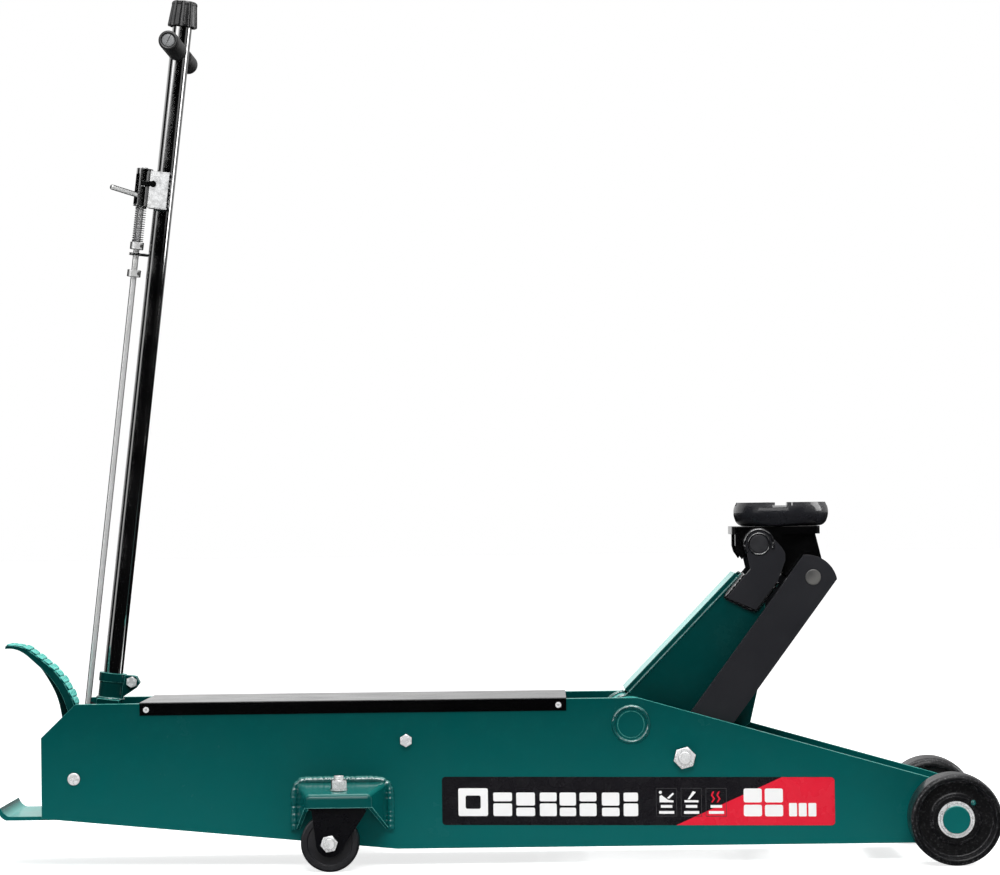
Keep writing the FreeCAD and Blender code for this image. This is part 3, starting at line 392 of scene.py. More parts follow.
# edge is a pale mint on the corners: wear mixed with a painted highlight
GREEN_FINISH = dict(rough=0.2, coat=0.25, peel=0.12, bevel=0.0014, edge=(0.16, 0.64, 0.56),
                    edge_wear_sheen_weight=0.75, spec=0.3, ior=1.27)


# shade below 1 makes a copy of the paint darkened as painted shade; top is a painted sheen, low a
# lighter colour painted near the floor as painted light
def green(name, shade=1.0, low=None):
    return enamel(name, scaled(TEAL, shade), scaled(TEAL_DARK, shade), scaled(TEAL_PALE, shade),
                  top=(0.10, 0.62, 0.55), top_weight=0.85, low=low, **GREEN_FINISH)


MATERIALS = {
    "green": green("green_enamel", low=TEAL_BOUNCE_LIT),
    # the same paint darkened as painted shade, for the arm, socket, tread and ties
    "green_shaded": green("green_enamel_shaded", shade=0.62),
    # hood: the top colour is a painted sheen, the bright edge a painted highlight on lip and
    # corners
    "green_hood": enamel(
        "green_enamel_hood", (0.0001, 0.066, 0.063), (0.0001, 0.060, 0.057), TEAL_PALE,
        rough=0.2, coat=0.4, peel=0.12, bevel=0.0018, edge=(0.30, 0.80, 0.74), edge_wear_sheen_weight=0.95,
        top=(0.02, 0.26, 0.23), top_weight=0.5, spec=0.3, ior=1.35),
    # arm plates: base darkened as painted shade; the pale top colour is a painted reflection seen
    # at a glance
    "green_plate": enamel(
        "green_enamel_plate", (0.0001, 0.040, 0.038), (0.0001, 0.036, 0.034), TEAL_PALE,
        top=(0.46, 0.96, 0.90), top_weight=1.0, up=(0.3, 0.6), sheen_at_glance=True, **GREEN_FINISH),
    # the same paint darkened further as painted shade, for the pedal arm and ears
    "green_deep_shade": green("green_enamel_deep_shade", shade=0.30),
    # weld: the top colour is a painted sheen, lighter near the floor as painted light
    "green_weld": enamel(
        "green_enamel_weld", TEAL, TEAL_DARK, (0.012, 0.17, 0.155),
        rough=0.15, coat=1.0, peel=1.3, bevel=0.0005, top=(0.14, 0.60, 0.52), top_weight=0.45,
        low=TEAL_BOUNCE_LIT, ior=1.6),
    # pale mint for the crater lips: a painted highlight
    "green_lip_sheen": enamel(
        "green_enamel_lip_sheen", (0.16, 0.66, 0.58), (0.12, 0.58, 0.51), (0.30, 0.80, 0.72),
        rough=0.28, coat=0.5, peel=0.2, bevel=0.0008),
    "black": enamel(
        "black_enamel", (0.0132, 0.0136, 0.0168), (0.0120, 0.0123, 0.015), (0.03, 0.03, 0.034),
        rough=0.34, coat=0.2, peel=0.2, bevel=0.0012, edge=(0.10, 0.10, 0.105),
        edge_wear_sheen_weight=0.45),
    "black_deep": enamel(
        "black_enamel_deep", (0.0030, 0.0030, 0.0042), (0.0025, 0.0025, 0.0034),
        (0.012, 0.012, 0.013), rough=0.25, coat=0.5, peel=0.2, bevel=0.0012,
        edge=(0.05, 0.05, 0.052), edge_wear_sheen_weight=0.4),
    "black_gloss": enamel(
        "black_gloss_enamel", (0.0012, 0.0012, 0.0014), (0.001, 0.001, 0.0012),
        (0.005, 0.005, 0.0055), rough=0.14, coat=0.6, peel=0.06, bevel=0.0012),
    "tube_gloss": enamel(
        "black_tube_enamel", (0.0008, 0.0008, 0.0010), (0.0007, 0.0007, 0.0009),
        (0.002, 0.002, 0.0025), rough=0.09, coat=1.0, peel=0.03, bevel=0.0012, ior=2.5),
    "black_weld": enamel(
        "black_enamel_weld", (0.006, 0.006, 0.0075), (0.005, 0.005, 0.006), (0.02, 0.02, 0.022),
        rough=0.14, coat=1.0, peel=1.1, bevel=0.0005, ior=1.6),
    # wheels: pale specks are painted glints, faces square to y carry painted shade
    "cast": casting("black_casting", (0.0060, 0.0060, 0.0072), (0.13, 0.13, 0.135),
                    rough=0.36, glint_speck=0.55, side=0.7),
    "cast_fine": casting("black_casting_fine", (0.0100, 0.0104, 0.0130), (0.030, 0.030, 0.034),
                         rough=0.30, glint_speck=0.3, grain_scale=420, coat=1.0),
    "zinc": zinc("zinc_plate", (0.93, 0.935, 0.94), blotch=0.3, metal=0.35),
    "zinc_rod": zinc("zinc_rod", (0.95, 0.955, 0.96), rough=0.12, blotch=0.1,
                     line_scale=(30, 30, 30), metal=0.5, rim_low=0.22, rim_high=0.52),
    "zinc_sheet": zinc("zinc_sheet", (0.70, 0.705, 0.71), rough=0.42, blotch=0.75,
                       line_scale=(120, 120, 120), metal=0.45, rim=0.6, rim_low=0.75),
    "steel": zinc("ground_steel", (0.55, 0.55, 0.56), blotch=0.6),
    "dark_pin": zinc("blackened_steel", (0.030, 0.030, 0.034), rough=0.34, metal=0.5, rim=0.5),
    "spring": zinc("spring_steel", (0.20, 0.20, 0.21), rough=0.2, blotch=0.3,
                   line_scale=(400, 400, 400), metal=0.8, rim_low=0.4),
    "nylon": plastic("black_nylon", (0.007, 0.007, 0.009), (0.013, 0.013, 0.016), rough=0.40),
    "knob": plastic("black_knob", (0.004, 0.004, 0.0045), (0.009, 0.009, 0.010),
                    rough=0.28, grain=0.10),
    "rubber": plastic("black_rubber", (0.007, 0.007, 0.0075), (0.016, 0.016, 0.017),
                      rough=0.42, grain=0.4, grain_scale=500),
    "cap_grey": plastic("grey_cap", (0.16, 0.165, 0.17), (0.26, 0.265, 0.27),
                        rough=0.4, grain=0.3, grain_scale=600),
    "d_black": vinyl("decal_black", (0.0048, 0.0042, 0.0063), (0.0052, 0.0046, 0.0068),
                     rough=0.24),
    "d_red": vinyl("decal_red", (0.68, 0.006, 0.028), (0.72, 0.008, 0.031), rough=0.24),
    "d_grey": vinyl("decal_grey", (0.035, 0.035, 0.038), (0.04, 0.04, 0.043)),
    "d_white": vinyl("decal_white", (0.90, 0.90, 0.90), (0.84, 0.84, 0.84)),
}

# material: the loaded pieces that wear it
WORN_BY = {
    "green": "side_plate_right side_plate_left rear_step_plate arm_pivot_shaft front_axle",
    "green_hood": "caster_bracket_right caster_bracket_left",
    "green_shaded": "pedal_tread arm_side_cheeks arm_pivot_tube handle_socket frame_cross_ties",
    "green_plate": "arm_box_plates",
    "green_deep_shade": "pedal_arm handle_ears",
    "black": "saddle_lugs radius_links reservoir_shell pump_block spring_anchor_bar",
    "black_deep": "caster_fork_right caster_fork_left",
    "black_gloss": "cover_plate saddle_bracket",
    "tube_gloss": "handle_tube lock_guide_tube",
    "cast": "front_wheel_right front_wheel_left",
    "cast_fine": "saddle_pad",
    "zinc": "axle_rings_and_spacers frame_screws caster_swivels link_pivot_bolts"
            " pedal_pivot_pin caster_axle_right caster_axle_left clamp_bolt"
            " handle_pivot_studs valve_plugs release_valve_spindle",
    "zinc_sheet": "lock_guide_plate",
    "zinc_rod": "lock_rod release_rod",
    "steel": "hydraulic_cylinder cylinder_head ram_rod ram_piston ram_pusher thrust_roller"
             " roller_pin pump_plunger pedal_plunger",
    "dark_pin": "saddle_pivot_pin link_pin",
    "spring": "return_springs lock_spring",
    "nylon": "caster_wheel_right caster_wheel_left",
    "knob": "release_knob",
    "rubber": "cross_bar_grips",
}
for key, piece_names in WORN_BY.items():
    for piece_name in piece_names.split():
        slots = PIECES[piece_name].data.materials
        slots.clear()
        slots.append(MATERIALS[key])

# ------------------------------------------------------------------ mesh helpers


def make_piece(name, verts, faces, material, body, slot, smooth=True,
               second=None, second_faces=()):
    """Object from a mesh; the second material goes on the faces listed in second_faces."""
    mesh = bpy.data.meshes.new(name)
    mesh.from_pydata([tuple(v) for v in verts], [], faces)
    mesh.validate()
    mesh.update()
    mesh.materials.append(MATERIALS[material])
    if second:
        mesh.materials.append(MATERIALS[second])
    for i in second_faces:
        mesh.polygons[i].material_index = 1
    for polygon in mesh.polygons:
        polygon.use_smooth = smooth
    bm = bmesh.new()
    bm.from_mesh(mesh)
    bmesh.ops.recalc_face_normals(bm, faces=bm.faces)
    bm.to_mesh(mesh)
    bm.free()
    piece = bpy.data.objects.new(name, mesh)
    scene.collection.objects.link(piece)
    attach(piece, body)
    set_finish(piece, slot)
    return piece


def join(name, parts):
    """One piece from several that ride on the same body."""
    body = parts[0].get("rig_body")
    slot = parts[0].get("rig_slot")
    verts, faces, indices, materials, smooth = [], [], [], [], []
    for part in parts:
        base = len(verts)
        verts += [part.matrix_world @ v.co for v in part.data.vertices]
        for polygon in part.data.polygons:
            faces.append(tuple(base + i for i in polygon.vertices))
            material = part.data.materials[polygon.material_index]
            if material not in materials:
                materials.append(material)
            indices.append(materials.index(material))
            smooth.append(polygon.use_smooth)
    for part in parts:
        mesh = part.data
        bpy.data.objects.remove(part)
        bpy.data.meshes.remove(mesh)
    mesh = bpy.data.meshes.new(name)
    mesh.from_pydata([tuple(v) for v in verts], [], faces)
    for material in materials:
        mesh.materials.append(material)
    for polygon, index, is_smooth in zip(mesh.polygons, indices, smooth):
        polygon.material_index = index
        polygon.use_smooth = is_smooth
    mesh.update()
    piece = bpy.data.objects.new(name, mesh)
    scene.collection.objects.link(piece)
    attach(piece, body)
    if slot:
        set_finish(piece, slot)
    return piece


def cross_axes(path, closed):
    """Two axes square to a path at each of its points, turning as little as possible."""
    count = len(path)
    tangents = []
    for i in range(count):
        before = path[(i - 1) % count] if closed or i > 0 else path[i]
        after = path[(i + 1) % count] if closed or i < count - 1 else path[i]
        tangents.append((after - before).normalized())
    first = tangents[0]
    start = Vector((0, 1, 0)) if abs(first.y) < 0.9 else Vector((1, 0, 0))
    normal = (start - first * start.dot(first)).normalized()
    axes = []
    for tangent in tangents:
        normal = (normal - tangent * normal.dot(tangent)).normalized()
        axes.append((normal, tangent.cross(normal)))
    return axes


def tube(path, radius, sides, closed=False):
    """Vertices and faces of a tube; radius is a function of the point's index."""
    verts, faces = [], []
    for i, (centre, (a, b)) in enumerate(zip(path, cross_axes(path, closed))):
        r = radius(i)
        for j in range(sides):
            angle = 2 * math.pi * j / sides
            verts.append(centre + a * (r * math.cos(angle)) + b * (r * math.sin(angle)))
    count = len(path)
    for i in range(count if closed else count - 1):
        for j in range(sides):
            k, l = (i + 1) % count, (j + 1) % sides
            faces.append((i * sides + j, k * sides + j, k * sides + l, i * sides + l))
    if not closed:
        faces.append(tuple(range(sides)))
        faces.append(tuple((count - 1) * sides + j for j in range(sides)))
    return verts, faces


def facing(origin, direction):
    """Matrix that puts local z along a direction."""
    return Matrix.Translation(origin) @ direction.to_track_quat("Z", "Y").to_matrix().to_4x4()


def turned(profile, place, sides):
    """Vertices and faces of a profile of (radius, height) in mm, turned about local z."""
    verts, faces = [], []
    for radius, height in profile:
        for angle in turn(sides):
            local = Vector((radius * math.cos(angle), radius * math.sin(angle), height))
            verts.append(place @ (local / 1000.0))
    last = len(profile) - 1
    for i in range(last):
        for j in range(sides):
            a, b = i * sides, (i + 1) * sides
            l = (j + 1) % sides
            faces.append((a + j, a + l, b + l, b + j))
    if profile[-1][0] > 1e-6:
        faces.append(tuple(last * sides + j for j in range(sides)))
    return verts, faces


def slab(name, outline, y0, y1, body, material, slot, place=point):
    """Flat sheet cut to an outline in the place's first two coordinates, from y0 to y1 mm."""
    n = len(outline)
    verts = [place(a, b, y) for y in (y0, y1) for a, b in outline]
    faces = [tuple(range(n)), tuple(range(n, 2 * n))]
    faces += [(i, (i + 1) % n, n + (i + 1) % n, n + i) for i in range(n)]
    return make_piece(name, verts, faces, material, body, slot, smooth=False)


def turn(count):
    """Angles evenly round a full turn."""
    return [2 * math.pi * k / count for k in range(count)]


def degrees(start, step, count):
    return [math.radians(start + step * k) for k in range(count)]


def arc(centre, radius, angles):
    """Points (a, b) of an arc."""
    return [(centre[0] + radius * math.cos(a), centre[1] + radius * math.sin(a))
            for a in angles]


bpy.context.view_layer.update()

# ------------------------------------------------------------------ welds

BEAD_STEP = 0.0018
BEAD_RIPPLE = 0.0075
# share of the bead's radius: steady part, ripple, slow drift, point-to-point jitter
BEAD_STEADY, BEAD_WAVE, BEAD_DRIFT, BEAD_JITTER = 0.94, 0.09, 0.34, 0.05
DRIFT_SPAN = 8  # points averaged for the slow drift

# (u, z) round the caster hood, rear foot to front foot
HOOD_WELD = (
    (-1085.5, 58), (-1085.5, 100), (-1085, 122), (-1081.5, 132), (-1073, 138.6),
    (-1062, 140), (-1005, 140), (-950, 140), (-939, 138.6), (-930, 132), (-926, 122),
    (-925.5, 100), (-925.5, 58),
)
# (u, z) round the foot of a saddle lug
LUG_WELD = (
    (-275, 458), (-313, 411), (-322, 413), (-352, 428), (-362, 434), (-353, 445), (-330, 472),
)
# (x, s, y) on the handle, along the lower edge of the lock guide plate and up its front
GUIDE_PLATE_WELD = (
    (-13.0, 906.6, -18.6), (7.9, 906.6, -17.4), (8.6, 909.0, -16.4), (8.6, 970.0, -16.4),
)


def bead(name, path, radius, body, paint="green", closed=False):
    """Weld bead: overlapping ripples along a path, uneven by a little."""
    dense = []
    count = len(path)
    for i in range(count if closed else count - 1):
        a, b = path[i], path[(i + 1) % count]
        parts = max(1, int((b - a).length / BEAD_STEP))
        dense += [a.lerp(b, j / parts) for j in range(parts)]
    if not closed:
        dense.append(path[-1])
    draw = random.Random(name)
    phase = draw.random() * 6
    jitter = [draw.uniform(-1, 1) for _ in range(len(dense) + 40)]

    def radius_at(i):
        drift = sum(jitter[i : i + DRIFT_SPAN]) / DRIFT_SPAN
        wave = abs(math.sin(i * BEAD_STEP / BEAD_RIPPLE * math.pi + phase))
        return radius * (BEAD_STEADY + BEAD_WAVE * wave + BEAD_DRIFT * drift
                         + BEAD_JITTER * jitter[(i * 7) % len(jitter)])

    verts, faces = tube(dense, radius_at, 12, closed)
    make_piece(name, verts, faces, paint + "_weld", body, paint + "_paint")


def across(outline, y):
    return [point(u, z, y) for u, z in outline]


def plate_welds(sign, side):
    bead("weld_arm_shaft_" + side, across(arc(ARM_SHAFT, 29.2, turn(72)), sign * 107.6),
         0.0036, "chassis", closed=True)
    bead("weld_caster_hood_" + side, across(HOOD_WELD, sign * 109.0), 0.0060, "chassis")


def arm_welds(sign, side):
    bead("weld_lug_" + side, across(LUG_WELD, sign * 63.5), 0.0046, "lift_arm", "black")
    rim = arc(SADDLE_PIN, 24.0, degrees(-20, 5.0, 48))
    bead("weld_lug_rim_" + side, across(rim, sign * 73.4), 0.0026, "lift_arm", "black")
    tube_rim = arc(ARM_SHAFT, 45.5, degrees(100, 5.5, 34))
    bead("weld_arm_tube_" + side, across(tube_rim, sign * ARM_WELD_Y), 0.0034, "lift_arm")
    top = ((-526.5, 276.5), (-342.5, 465.7))
    bead("weld_arm_top_" + side, across(top, sign * 62.4), 0.0022, "lift_arm")
    pin = arc(SADDLE_PIN, 17.6, turn(44))
    bead("weld_saddle_pin_" + side, across(pin, sign * 74.2), 0.0020, "lift_arm", "black",
         closed=True)


def nose_welds():
    rear_u, front_u = 24, 36
    bead("weld_nose_top", [point(rear_u, 99.5, -94), point(rear_u, 100.0, 94)],
         0.003, "chassis")
    for sign, side in SIDES:
        for i, u in enumerate((rear_u, front_u)):
            bead(f"weld_nose_{side}_{i}", across(((u, 43), (u, 99)), sign * 94.8),
                 0.0028, "chassis")


def handle_welds():
    # an oval, a little wider in x than in y
    band = [handle_point(21.8 * math.cos(a), 74.5, 21.2 * math.sin(a)) for a in turn(48)]
    bead("weld_socket_band", band, 0.0026, "handle", closed=True)
    bead("weld_guide_plate", [handle_point(*p) for p in GUIDE_PLATE_WELD],
         0.0030, "handle", "black")


for sign, side in SIDES:
    plate_welds(sign, side)
for sign, side in SIDES:
    arm_welds(sign, side)
for sign, side in SIDES:
    bead("weld_step_" + side, across(((-1450, 84.5), (-1506, 84.5)), sign * 95), 0.003, "chassis")
nose_welds()
handle_welds()

# ------------------------------------------------------------------ lock guide and collars


def guide_slot_shade_sheet():
    """Black sheets in the hook slot of the guide and its plate, standing for the shade in the
    slot.
    """
    bend = arc((-18.5, 948.2), 5.4, degrees(-125, 10, 26))
    # name, outline of (x, s), y from, y to
    layers = (
        ("slot_shade0", [(-24.2, 944.2)] + bend + [(-24.2, 952.3)], -20.3, -18.6),
        ("slot_shade1", [(-41.0, 944.3), (-25.0, 944.3), (-25.0, 952.2), (-41.0, 952.2)],
         -13.0, -11.2),
    )
    join("guide_slot_shade_sheet", [
        slab(name, outline, y0, y1, "handle", "black_gloss", "black_rubber", handle_point)
        for name, outline, y0, y1 in layers
    ])


def collar_screws():
    """Socket screws that hold the two collars to the rod."""
    # (radius, height)
    profile = ((0.0, 1.1), (1.5, 1.1), (1.6, 1.4), (2.6, 1.4), (2.9, 1.0), (2.9, 0.0))
    collar_radius = 11.0
    angle = math.radians(48)  # from straight right towards the front
    ahead, out = math.sin(angle), -math.cos(angle)
    direction = (handle_point(ahead, 0, out) - handle_point(0, 0)).normalized()
    for i, s in enumerate((795.2, 842.3)):
        origin = handle_point(LOCK_ROD_X + collar_radius * ahead, s, collar_radius * out)
        verts, faces = turned(profile, facing(origin, direction), 18)
        make_piece(f"collar_screw_{i}", verts, faces, "dark_pin", "lock_rod", "black_paint")


guide_slot_shade_sheet()
collar_screws()

# ------------------------------------------------------------------ side panels

PANEL_REAR, PANEL_FRONT = -840, -189
PANEL_BOTTOM, PANEL_TOP = 63, 143
PANEL_CORNER = 6
PANEL_SLOPE = math.tan(math.radians(0.73))  # the panel drops towards the front
LAYER_SUNK = 0.02  # film's inner face off the plate
LAYER_THICK, LAYER_RISE = 0.22, 0.14  # film's outer face, and its rise with each level
RED_INSET = 0.3
RED_BOTTOM_U, RED_TOP_U = -452.0, -276.6  # rear ends of the red field

# (rear u, front u) of blocks
BLOCK_STACKS = (
    (-755, -724), (-717, -686), (-678, -650), (-645, -618), (-612, -584), (-575, -546),
    (-539, -515),
)
TALL_STACKS = ((-340, -310), (-305, -275))
SMALL_BLOCKS = ((-265, -252), (-249, -236), (-233, -220))

FRAME_STARTS = (-485.3, -444.0, -402.9)  # rear edges of the faint frames
FRAME_WIDTH = 34.6
FRAME_BOTTOM, FRAME_TOP = 77.6, 124.6
FRAME_LINE = 0.9
# (from, to, bottom) of the short bars, from the frame's rear edge
SHORT_BARS = ((8, 27, 92.0), (5, 30, 82.0))
BAR_HEIGHT = 4.6
# pictogram outlines (ahead of the frame's rear edge, z)
RAMP_SHAPE = ((6, 101), (29, 101), (29, 104), (20, 105), (9, 113), (6, 111))
SLANT_SHAPE = ((18, 108), (28, 117), (30, 115), (22, 107))
LEANING_SHAPE = ((11, 106), (14.5, 106), (25, 118), (20, 119.5))
ZIGZAG_SHAPE = (
    (0, 101), (2.6, 101), (6.6, 107), (2.6, 113), (5.2, 119), (2.6, 119), (-0.4, 113),
    (3.6, 107),
)


def sloped(outline, shift=0.0):
    """An outline of (u, z) moved ahead by shift and set to the panel's slope."""
    return [(shift + u, z - (shift + u - PANEL_REAR) * PANEL_SLOPE) for u, z in outline]


def corner(u, z, radius, start, steps):
    return arc((u, z), radius, [math.radians(start + 90 * k / steps) for k in range(steps + 1)])


def round_rect(u0, u1, z0, z1, r, steps):
    return sloped(
        corner(u1 - r, z1 - r, r, 0, steps) + corner(u0 + r, z1 - r, r, 90, steps)
        + corner(u0 + r, z0 + r, r, 180, steps) + corner(u1 - r, z0 + r, r, 270, steps))


def rect(u0, u1, z0, z1):
    return sloped([(u0, z0), (u1, z0), (u1, z1), (u0, z1)])


def red_field():
    """Front part of the panel, ahead of a leaning line."""
    r = PANEL_CORNER
    bottom, top = PANEL_BOTTOM + RED_INSET, PANEL_TOP - RED_INSET
    corner_u = PANEL_FRONT - r - RED_INSET
    return sloped(
        [(RED_BOTTOM_U, bottom), (PANEL_FRONT - r, bottom)]
        + corner(corner_u, bottom + r, r, 270, 6) + corner(corner_u, top - r, r, 0, 6)
        + [(RED_TOP_U, top)])


def side_panel(sign, side):
    """Film panel of plain blocks and pictograms, with no lettering."""
    parts = []

    def lay(outline, level, material):
        y0 = sign * (PLATE_Y + LAYER_SUNK)
        y1 = sign * (PLATE_Y + LAYER_THICK + LAYER_RISE * level)
        name = f"d{side}{len(parts) + 1}"
        parts.append(slab(name, outline, y0, y1, "chassis", material, "black_paint"))

    lay(round_rect(PANEL_REAR, PANEL_FRONT, PANEL_BOTTOM, PANEL_TOP, PANEL_CORNER, 6),
        0, "d_black")
    lay(red_field(), 1, "d_red")
    lay(round_rect(-813, -764, 78, 124, 3, 4), 1, "d_white")
    lay(round_rect(-801, -776, 90, 112, 3, 4), 2, "d_black")
    for i, (u0, u1) in enumerate(BLOCK_STACKS):
        cut = 92 if i % 2 else 99
        lay(round_rect(u0, u1, 78, cut, 2.5, 3), 1, "d_white")
        lay(round_rect(u0, u1, cut + 3.5, 117, 2.5, 3), 1, "d_white")
    for u0, u1 in TALL_STACKS:
        lay(round_rect(u0, u1, 78, 97, 3, 3), 2, "d_white")
        lay(round_rect(u0, u1, 101, 124, 3, 3), 2, "d_white")
    for u0, u1 in SMALL_BLOCKS:
        lay(round_rect(u0, u1, 78, 100, 1.5, 3), 2, "d_white")
    for i, u in enumerate(FRAME_STARTS):
        end = u + FRAME_WIDTH
        for edges in (
            (u, end, FRAME_TOP - FRAME_LINE, FRAME_TOP),
            (u, end, FRAME_BOTTOM, FRAME_BOTTOM + FRAME_LINE),
            (u, u + FRAME_LINE, FRAME_BOTTOM, FRAME_TOP),
            (end - FRAME_LINE, end, FRAME_BOTTOM, FRAME_TOP),
        ):
            lay(rect(*edges), 2, "d_grey")
        for start, stop, z in SHORT_BARS:
            lay(rect(u + start, u + stop, z, z + BAR_HEIGHT), 2, "d_white")
        if i == 0:
            lay(sloped(RAMP_SHAPE, u), 2, "d_white")
            lay(sloped(SLANT_SHAPE, u), 2, "d_white")
            lay(round_rect(u + 5, u + 10, 115, 120, 2.4, 4), 2, "d_white")
        elif i == 1:
            lay(rect(u + 6, u + 29, 101, 104.5), 2, "d_white")
            lay(sloped(LEANING_SHAPE, u), 2, "d_white")
        else:
            for k in range(2):
                lay(sloped(ZIGZAG_SHAPE, u + 9 + 9 * k), 2, "d_red")
    join("side_panel_" + side, parts)


for sign, side in SIDES:
    side_panel(sign, side)

# ------------------------------------------------------------------ springs

END_TURNS = 1.2  # closed turns at each end of a coil
CLOSED_PITCH = 2.1  # rise of a closed turn, in wire radii

LEVER = 92.0  # arm shaft to the springs' front hooks
LEVER_ANGLE = math.radians(34)  # ahead of straight down
SPRING_Y = 69.0
SPRING_WIRE = 0.0012
COIL_FROM_HOOK, COIL_FROM_ANCHOR = 0.045, 0.035
# straight ends of the wire: (distance along the spring from its near end, offset in y)
FRONT_END = ((0.0126, 0), (0.03, 0), (0.043, 0), (0.0452, 0.0024), (0.0452, 0.0044))
REAR_END = ((0.0351, 0.0048), (0.034, 0.0024), (0.032, 0), (0.0056, 0))


def helix(start, end, turns, radius, wire, steps):
    """Path of a coil with closed end turns; steps is the points in each turn."""
    span = end - start
    length = span.length
    along = span.normalized()
    y_axis = Vector((0, 1, 0))
    a = (y_axis - along * y_axis.dot(along)).normalized()
    b = along.cross(a)
    rise = wire * CLOSED_PITCH
    closed = END_TURNS * rise
    path = []
    for i in range(int(turns * steps) + 1):
        k = i / steps
        if k < END_TURNS:
            height = k * rise
        elif k > turns - END_TURNS:
            height = length - (turns - k) * rise
        else:
            share = (k - END_TURNS) / (turns - 2 * END_TURNS)
            height = closed + (length - 2 * closed) * share
        angle = 2 * math.pi * k
        path.append(start + along * height + (a * math.cos(angle) + b * math.sin(angle)) * radius)
    return path


def ring(centre, radius, count, a, b):
    return [centre + (a * math.cos(t) + b * math.sin(t)) * radius for t in turn(count)]


def spring_wire(name, path, wire, sides, body, closed=False):
    verts, faces = tube(path, lambda i: wire, sides, closed)
    return make_piece(name, verts, faces, "spring", body, "spring_steel")


def lock_spring():
    wire = 0.00082
    path = helix(handle_point(LOCK_ROD_X, 849.6), handle_point(LOCK_ROD_X, 908.8),
                 turns=17, radius=0.0088, wire=wire, steps=22)
    coil = spring_wire("lock_spring_coil", path, wire, 8, "handle")
    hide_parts("lock_spring")
    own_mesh(coil)


def return_spring(sign, side):
    x_axis, y_axis, z_axis = Vector((1, 0, 0)), Vector((0, 1, 0)), Vector((0, 0, 1))
    hook = point(ARM_SHAFT[0] + LEVER * math.sin(LEVER_ANGLE),
                 ARM_SHAFT[1] - LEVER * math.cos(LEVER_ANGLE), sign * SPRING_Y)
    anchor = point(*SPRING_ANCHOR, sign * SPRING_Y)
    span = anchor - hook
    length = span.length
    along = span / length
    start = hook + along * COIL_FROM_HOOK
    end = hook + along * (length - COIL_FROM_ANCHOR)

    path = helix(start, end, turns=74, radius=0.0048, wire=SPRING_WIRE, steps=16)
    coil = spring_wire("return_spring_coil_" + side, path, SPRING_WIRE, 7, "chassis")
    if sign < 0:
        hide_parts("return_springs")
    # the hook swings from ahead of the shaft to as far behind it
    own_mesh(coil)

    # the front end keeps to the ram's travel, the rear one stays with its anchor
    path = [hook + along * d + y_axis * y for d, y in FRONT_END]
    spring_wire("return_spring_front_end_" + side, path, SPRING_WIRE, 10, "ram")
    path = [hook + along * (length - d) + y_axis * y for d, y in REAR_END]
    spring_wire("return_spring_rear_end_" + side, path, SPRING_WIRE, 10, "chassis")
    path = ring(hook, 0.0123, 40, x_axis, z_axis)
    spring_wire("return_spring_hook_" + side, path, 0.0013, 10, "lift_arm", closed=True)
    path = ring(anchor, 0.0056, 32, along, y_axis)
    spring_wire("return_spring_eye_" + side, path, SPRING_WIRE, 10, "chassis", closed=True)


lock_spring()
for sign, side in SIDES:
    return_spring(sign, side)

# ------------------------------------------------------------------ pedal tread

# (u, z) down the tread's face, from its rear top
TREAD_LINE = (
    (-1566, 368), (-1536, 364), (-1513, 349), (-1488, 328), (-1470, 306), (-1457, 281),
    (-1450.5, 262),
)
# (radius, height) of a punched crater, from its foot over the lip to its middle
CRATER = (
    (7.3, -0.8), (7.1, 0.5), (6.6, 1.9), (5.9, 3.1), (5.2, 3.5), (4.5, 3.3), (4.0, 2.5),
    (3.8, 1.2), (3.8, 0.2), (0.0, 0.15),
)
CRATER_SIDES = 20
SHEEN_LIP_BANDS = range(2, 6)  # bands of the crater painted pale as a highlight on the lip
CRATER_PITCH = 15.4
ROW_PITCH = CRATER_PITCH * 0.866  # staggered rows, close to equal spacing
FIRST_ROW, END_MARGIN = 8.0, 3
FIRST_CRATER_Y = -88.0


def smooth_line(points, steps):
    """Catmull-Rom curve through the points."""
    padded = [points[0], *points, points[-1]]
    line = []
    for p0, p1, p2, p3 in zip(padded, padded[1:], padded[2:], padded[3:]):
        for k in range(steps):
            t = k / steps
            line.append(tuple(
                0.5 * (2 * b + (c - a) * t + (2 * a - 5 * b + 4 * c - d) * t * t
                       + (3 * b - a - 3 * c + d) * t ** 3)
                for a, b, c, d in zip(p0, p1, p2, p3)))
    line.append(points[-1])
    return line


def tread_grips():
    """Staggered rows of raised craters, square to the tread's face."""
    line = smooth_line(TREAD_LINE, 24)
    travelled = [0.0]
    for p, q in zip(line, line[1:]):
        travelled.append(travelled[-1] + math.hypot(q[0] - p[0], q[1] - p[1]))
    verts, faces = [], []
    row = 0
    while FIRST_ROW + row * ROW_PITCH <= travelled[-1] - END_MARGIN:
        distance = FIRST_ROW + row * ROW_PITCH
        i = max(j for j in range(len(travelled)) if travelled[j] <= distance)
        p, q = line[i], line[i + 1]
        t = (distance - travelled[i]) / (travelled[i + 1] - travelled[i])
        du, dz = q[0] - p[0], q[1] - p[1]
        length = math.hypot(du, dz)
        normal = Vector((abs(dz) / length, 0, abs(du) / length))
        odd = row % 2
        for column in range(3 if odd else 4):
            y = FIRST_CRATER_Y + CRATER_PITCH * column + odd * CRATER_PITCH / 2
            place = facing(point(p[0] + du * t, p[1] + dz * t, y), normal)
            new_verts, new_faces = turned(CRATER, place, CRATER_SIDES)
            faces += [tuple(len(verts) + v for v in face) for face in new_faces]
            verts += new_verts
        row += 1
    bands = len(CRATER) - 1
    # the lip bands take the pale paint: a painted highlight
    sheen_lips = [i for i in range(len(faces)) if (i // CRATER_SIDES) % bands in SHEEN_LIP_BANDS]
    make_piece("pedal_tread_grips", verts, faces, "green", "foot_pedal", "green_paint",
               second="green_lip_sheen", second_faces=sheen_lips)


tread_grips()

# ------------------------------------------------------------------ small hardware

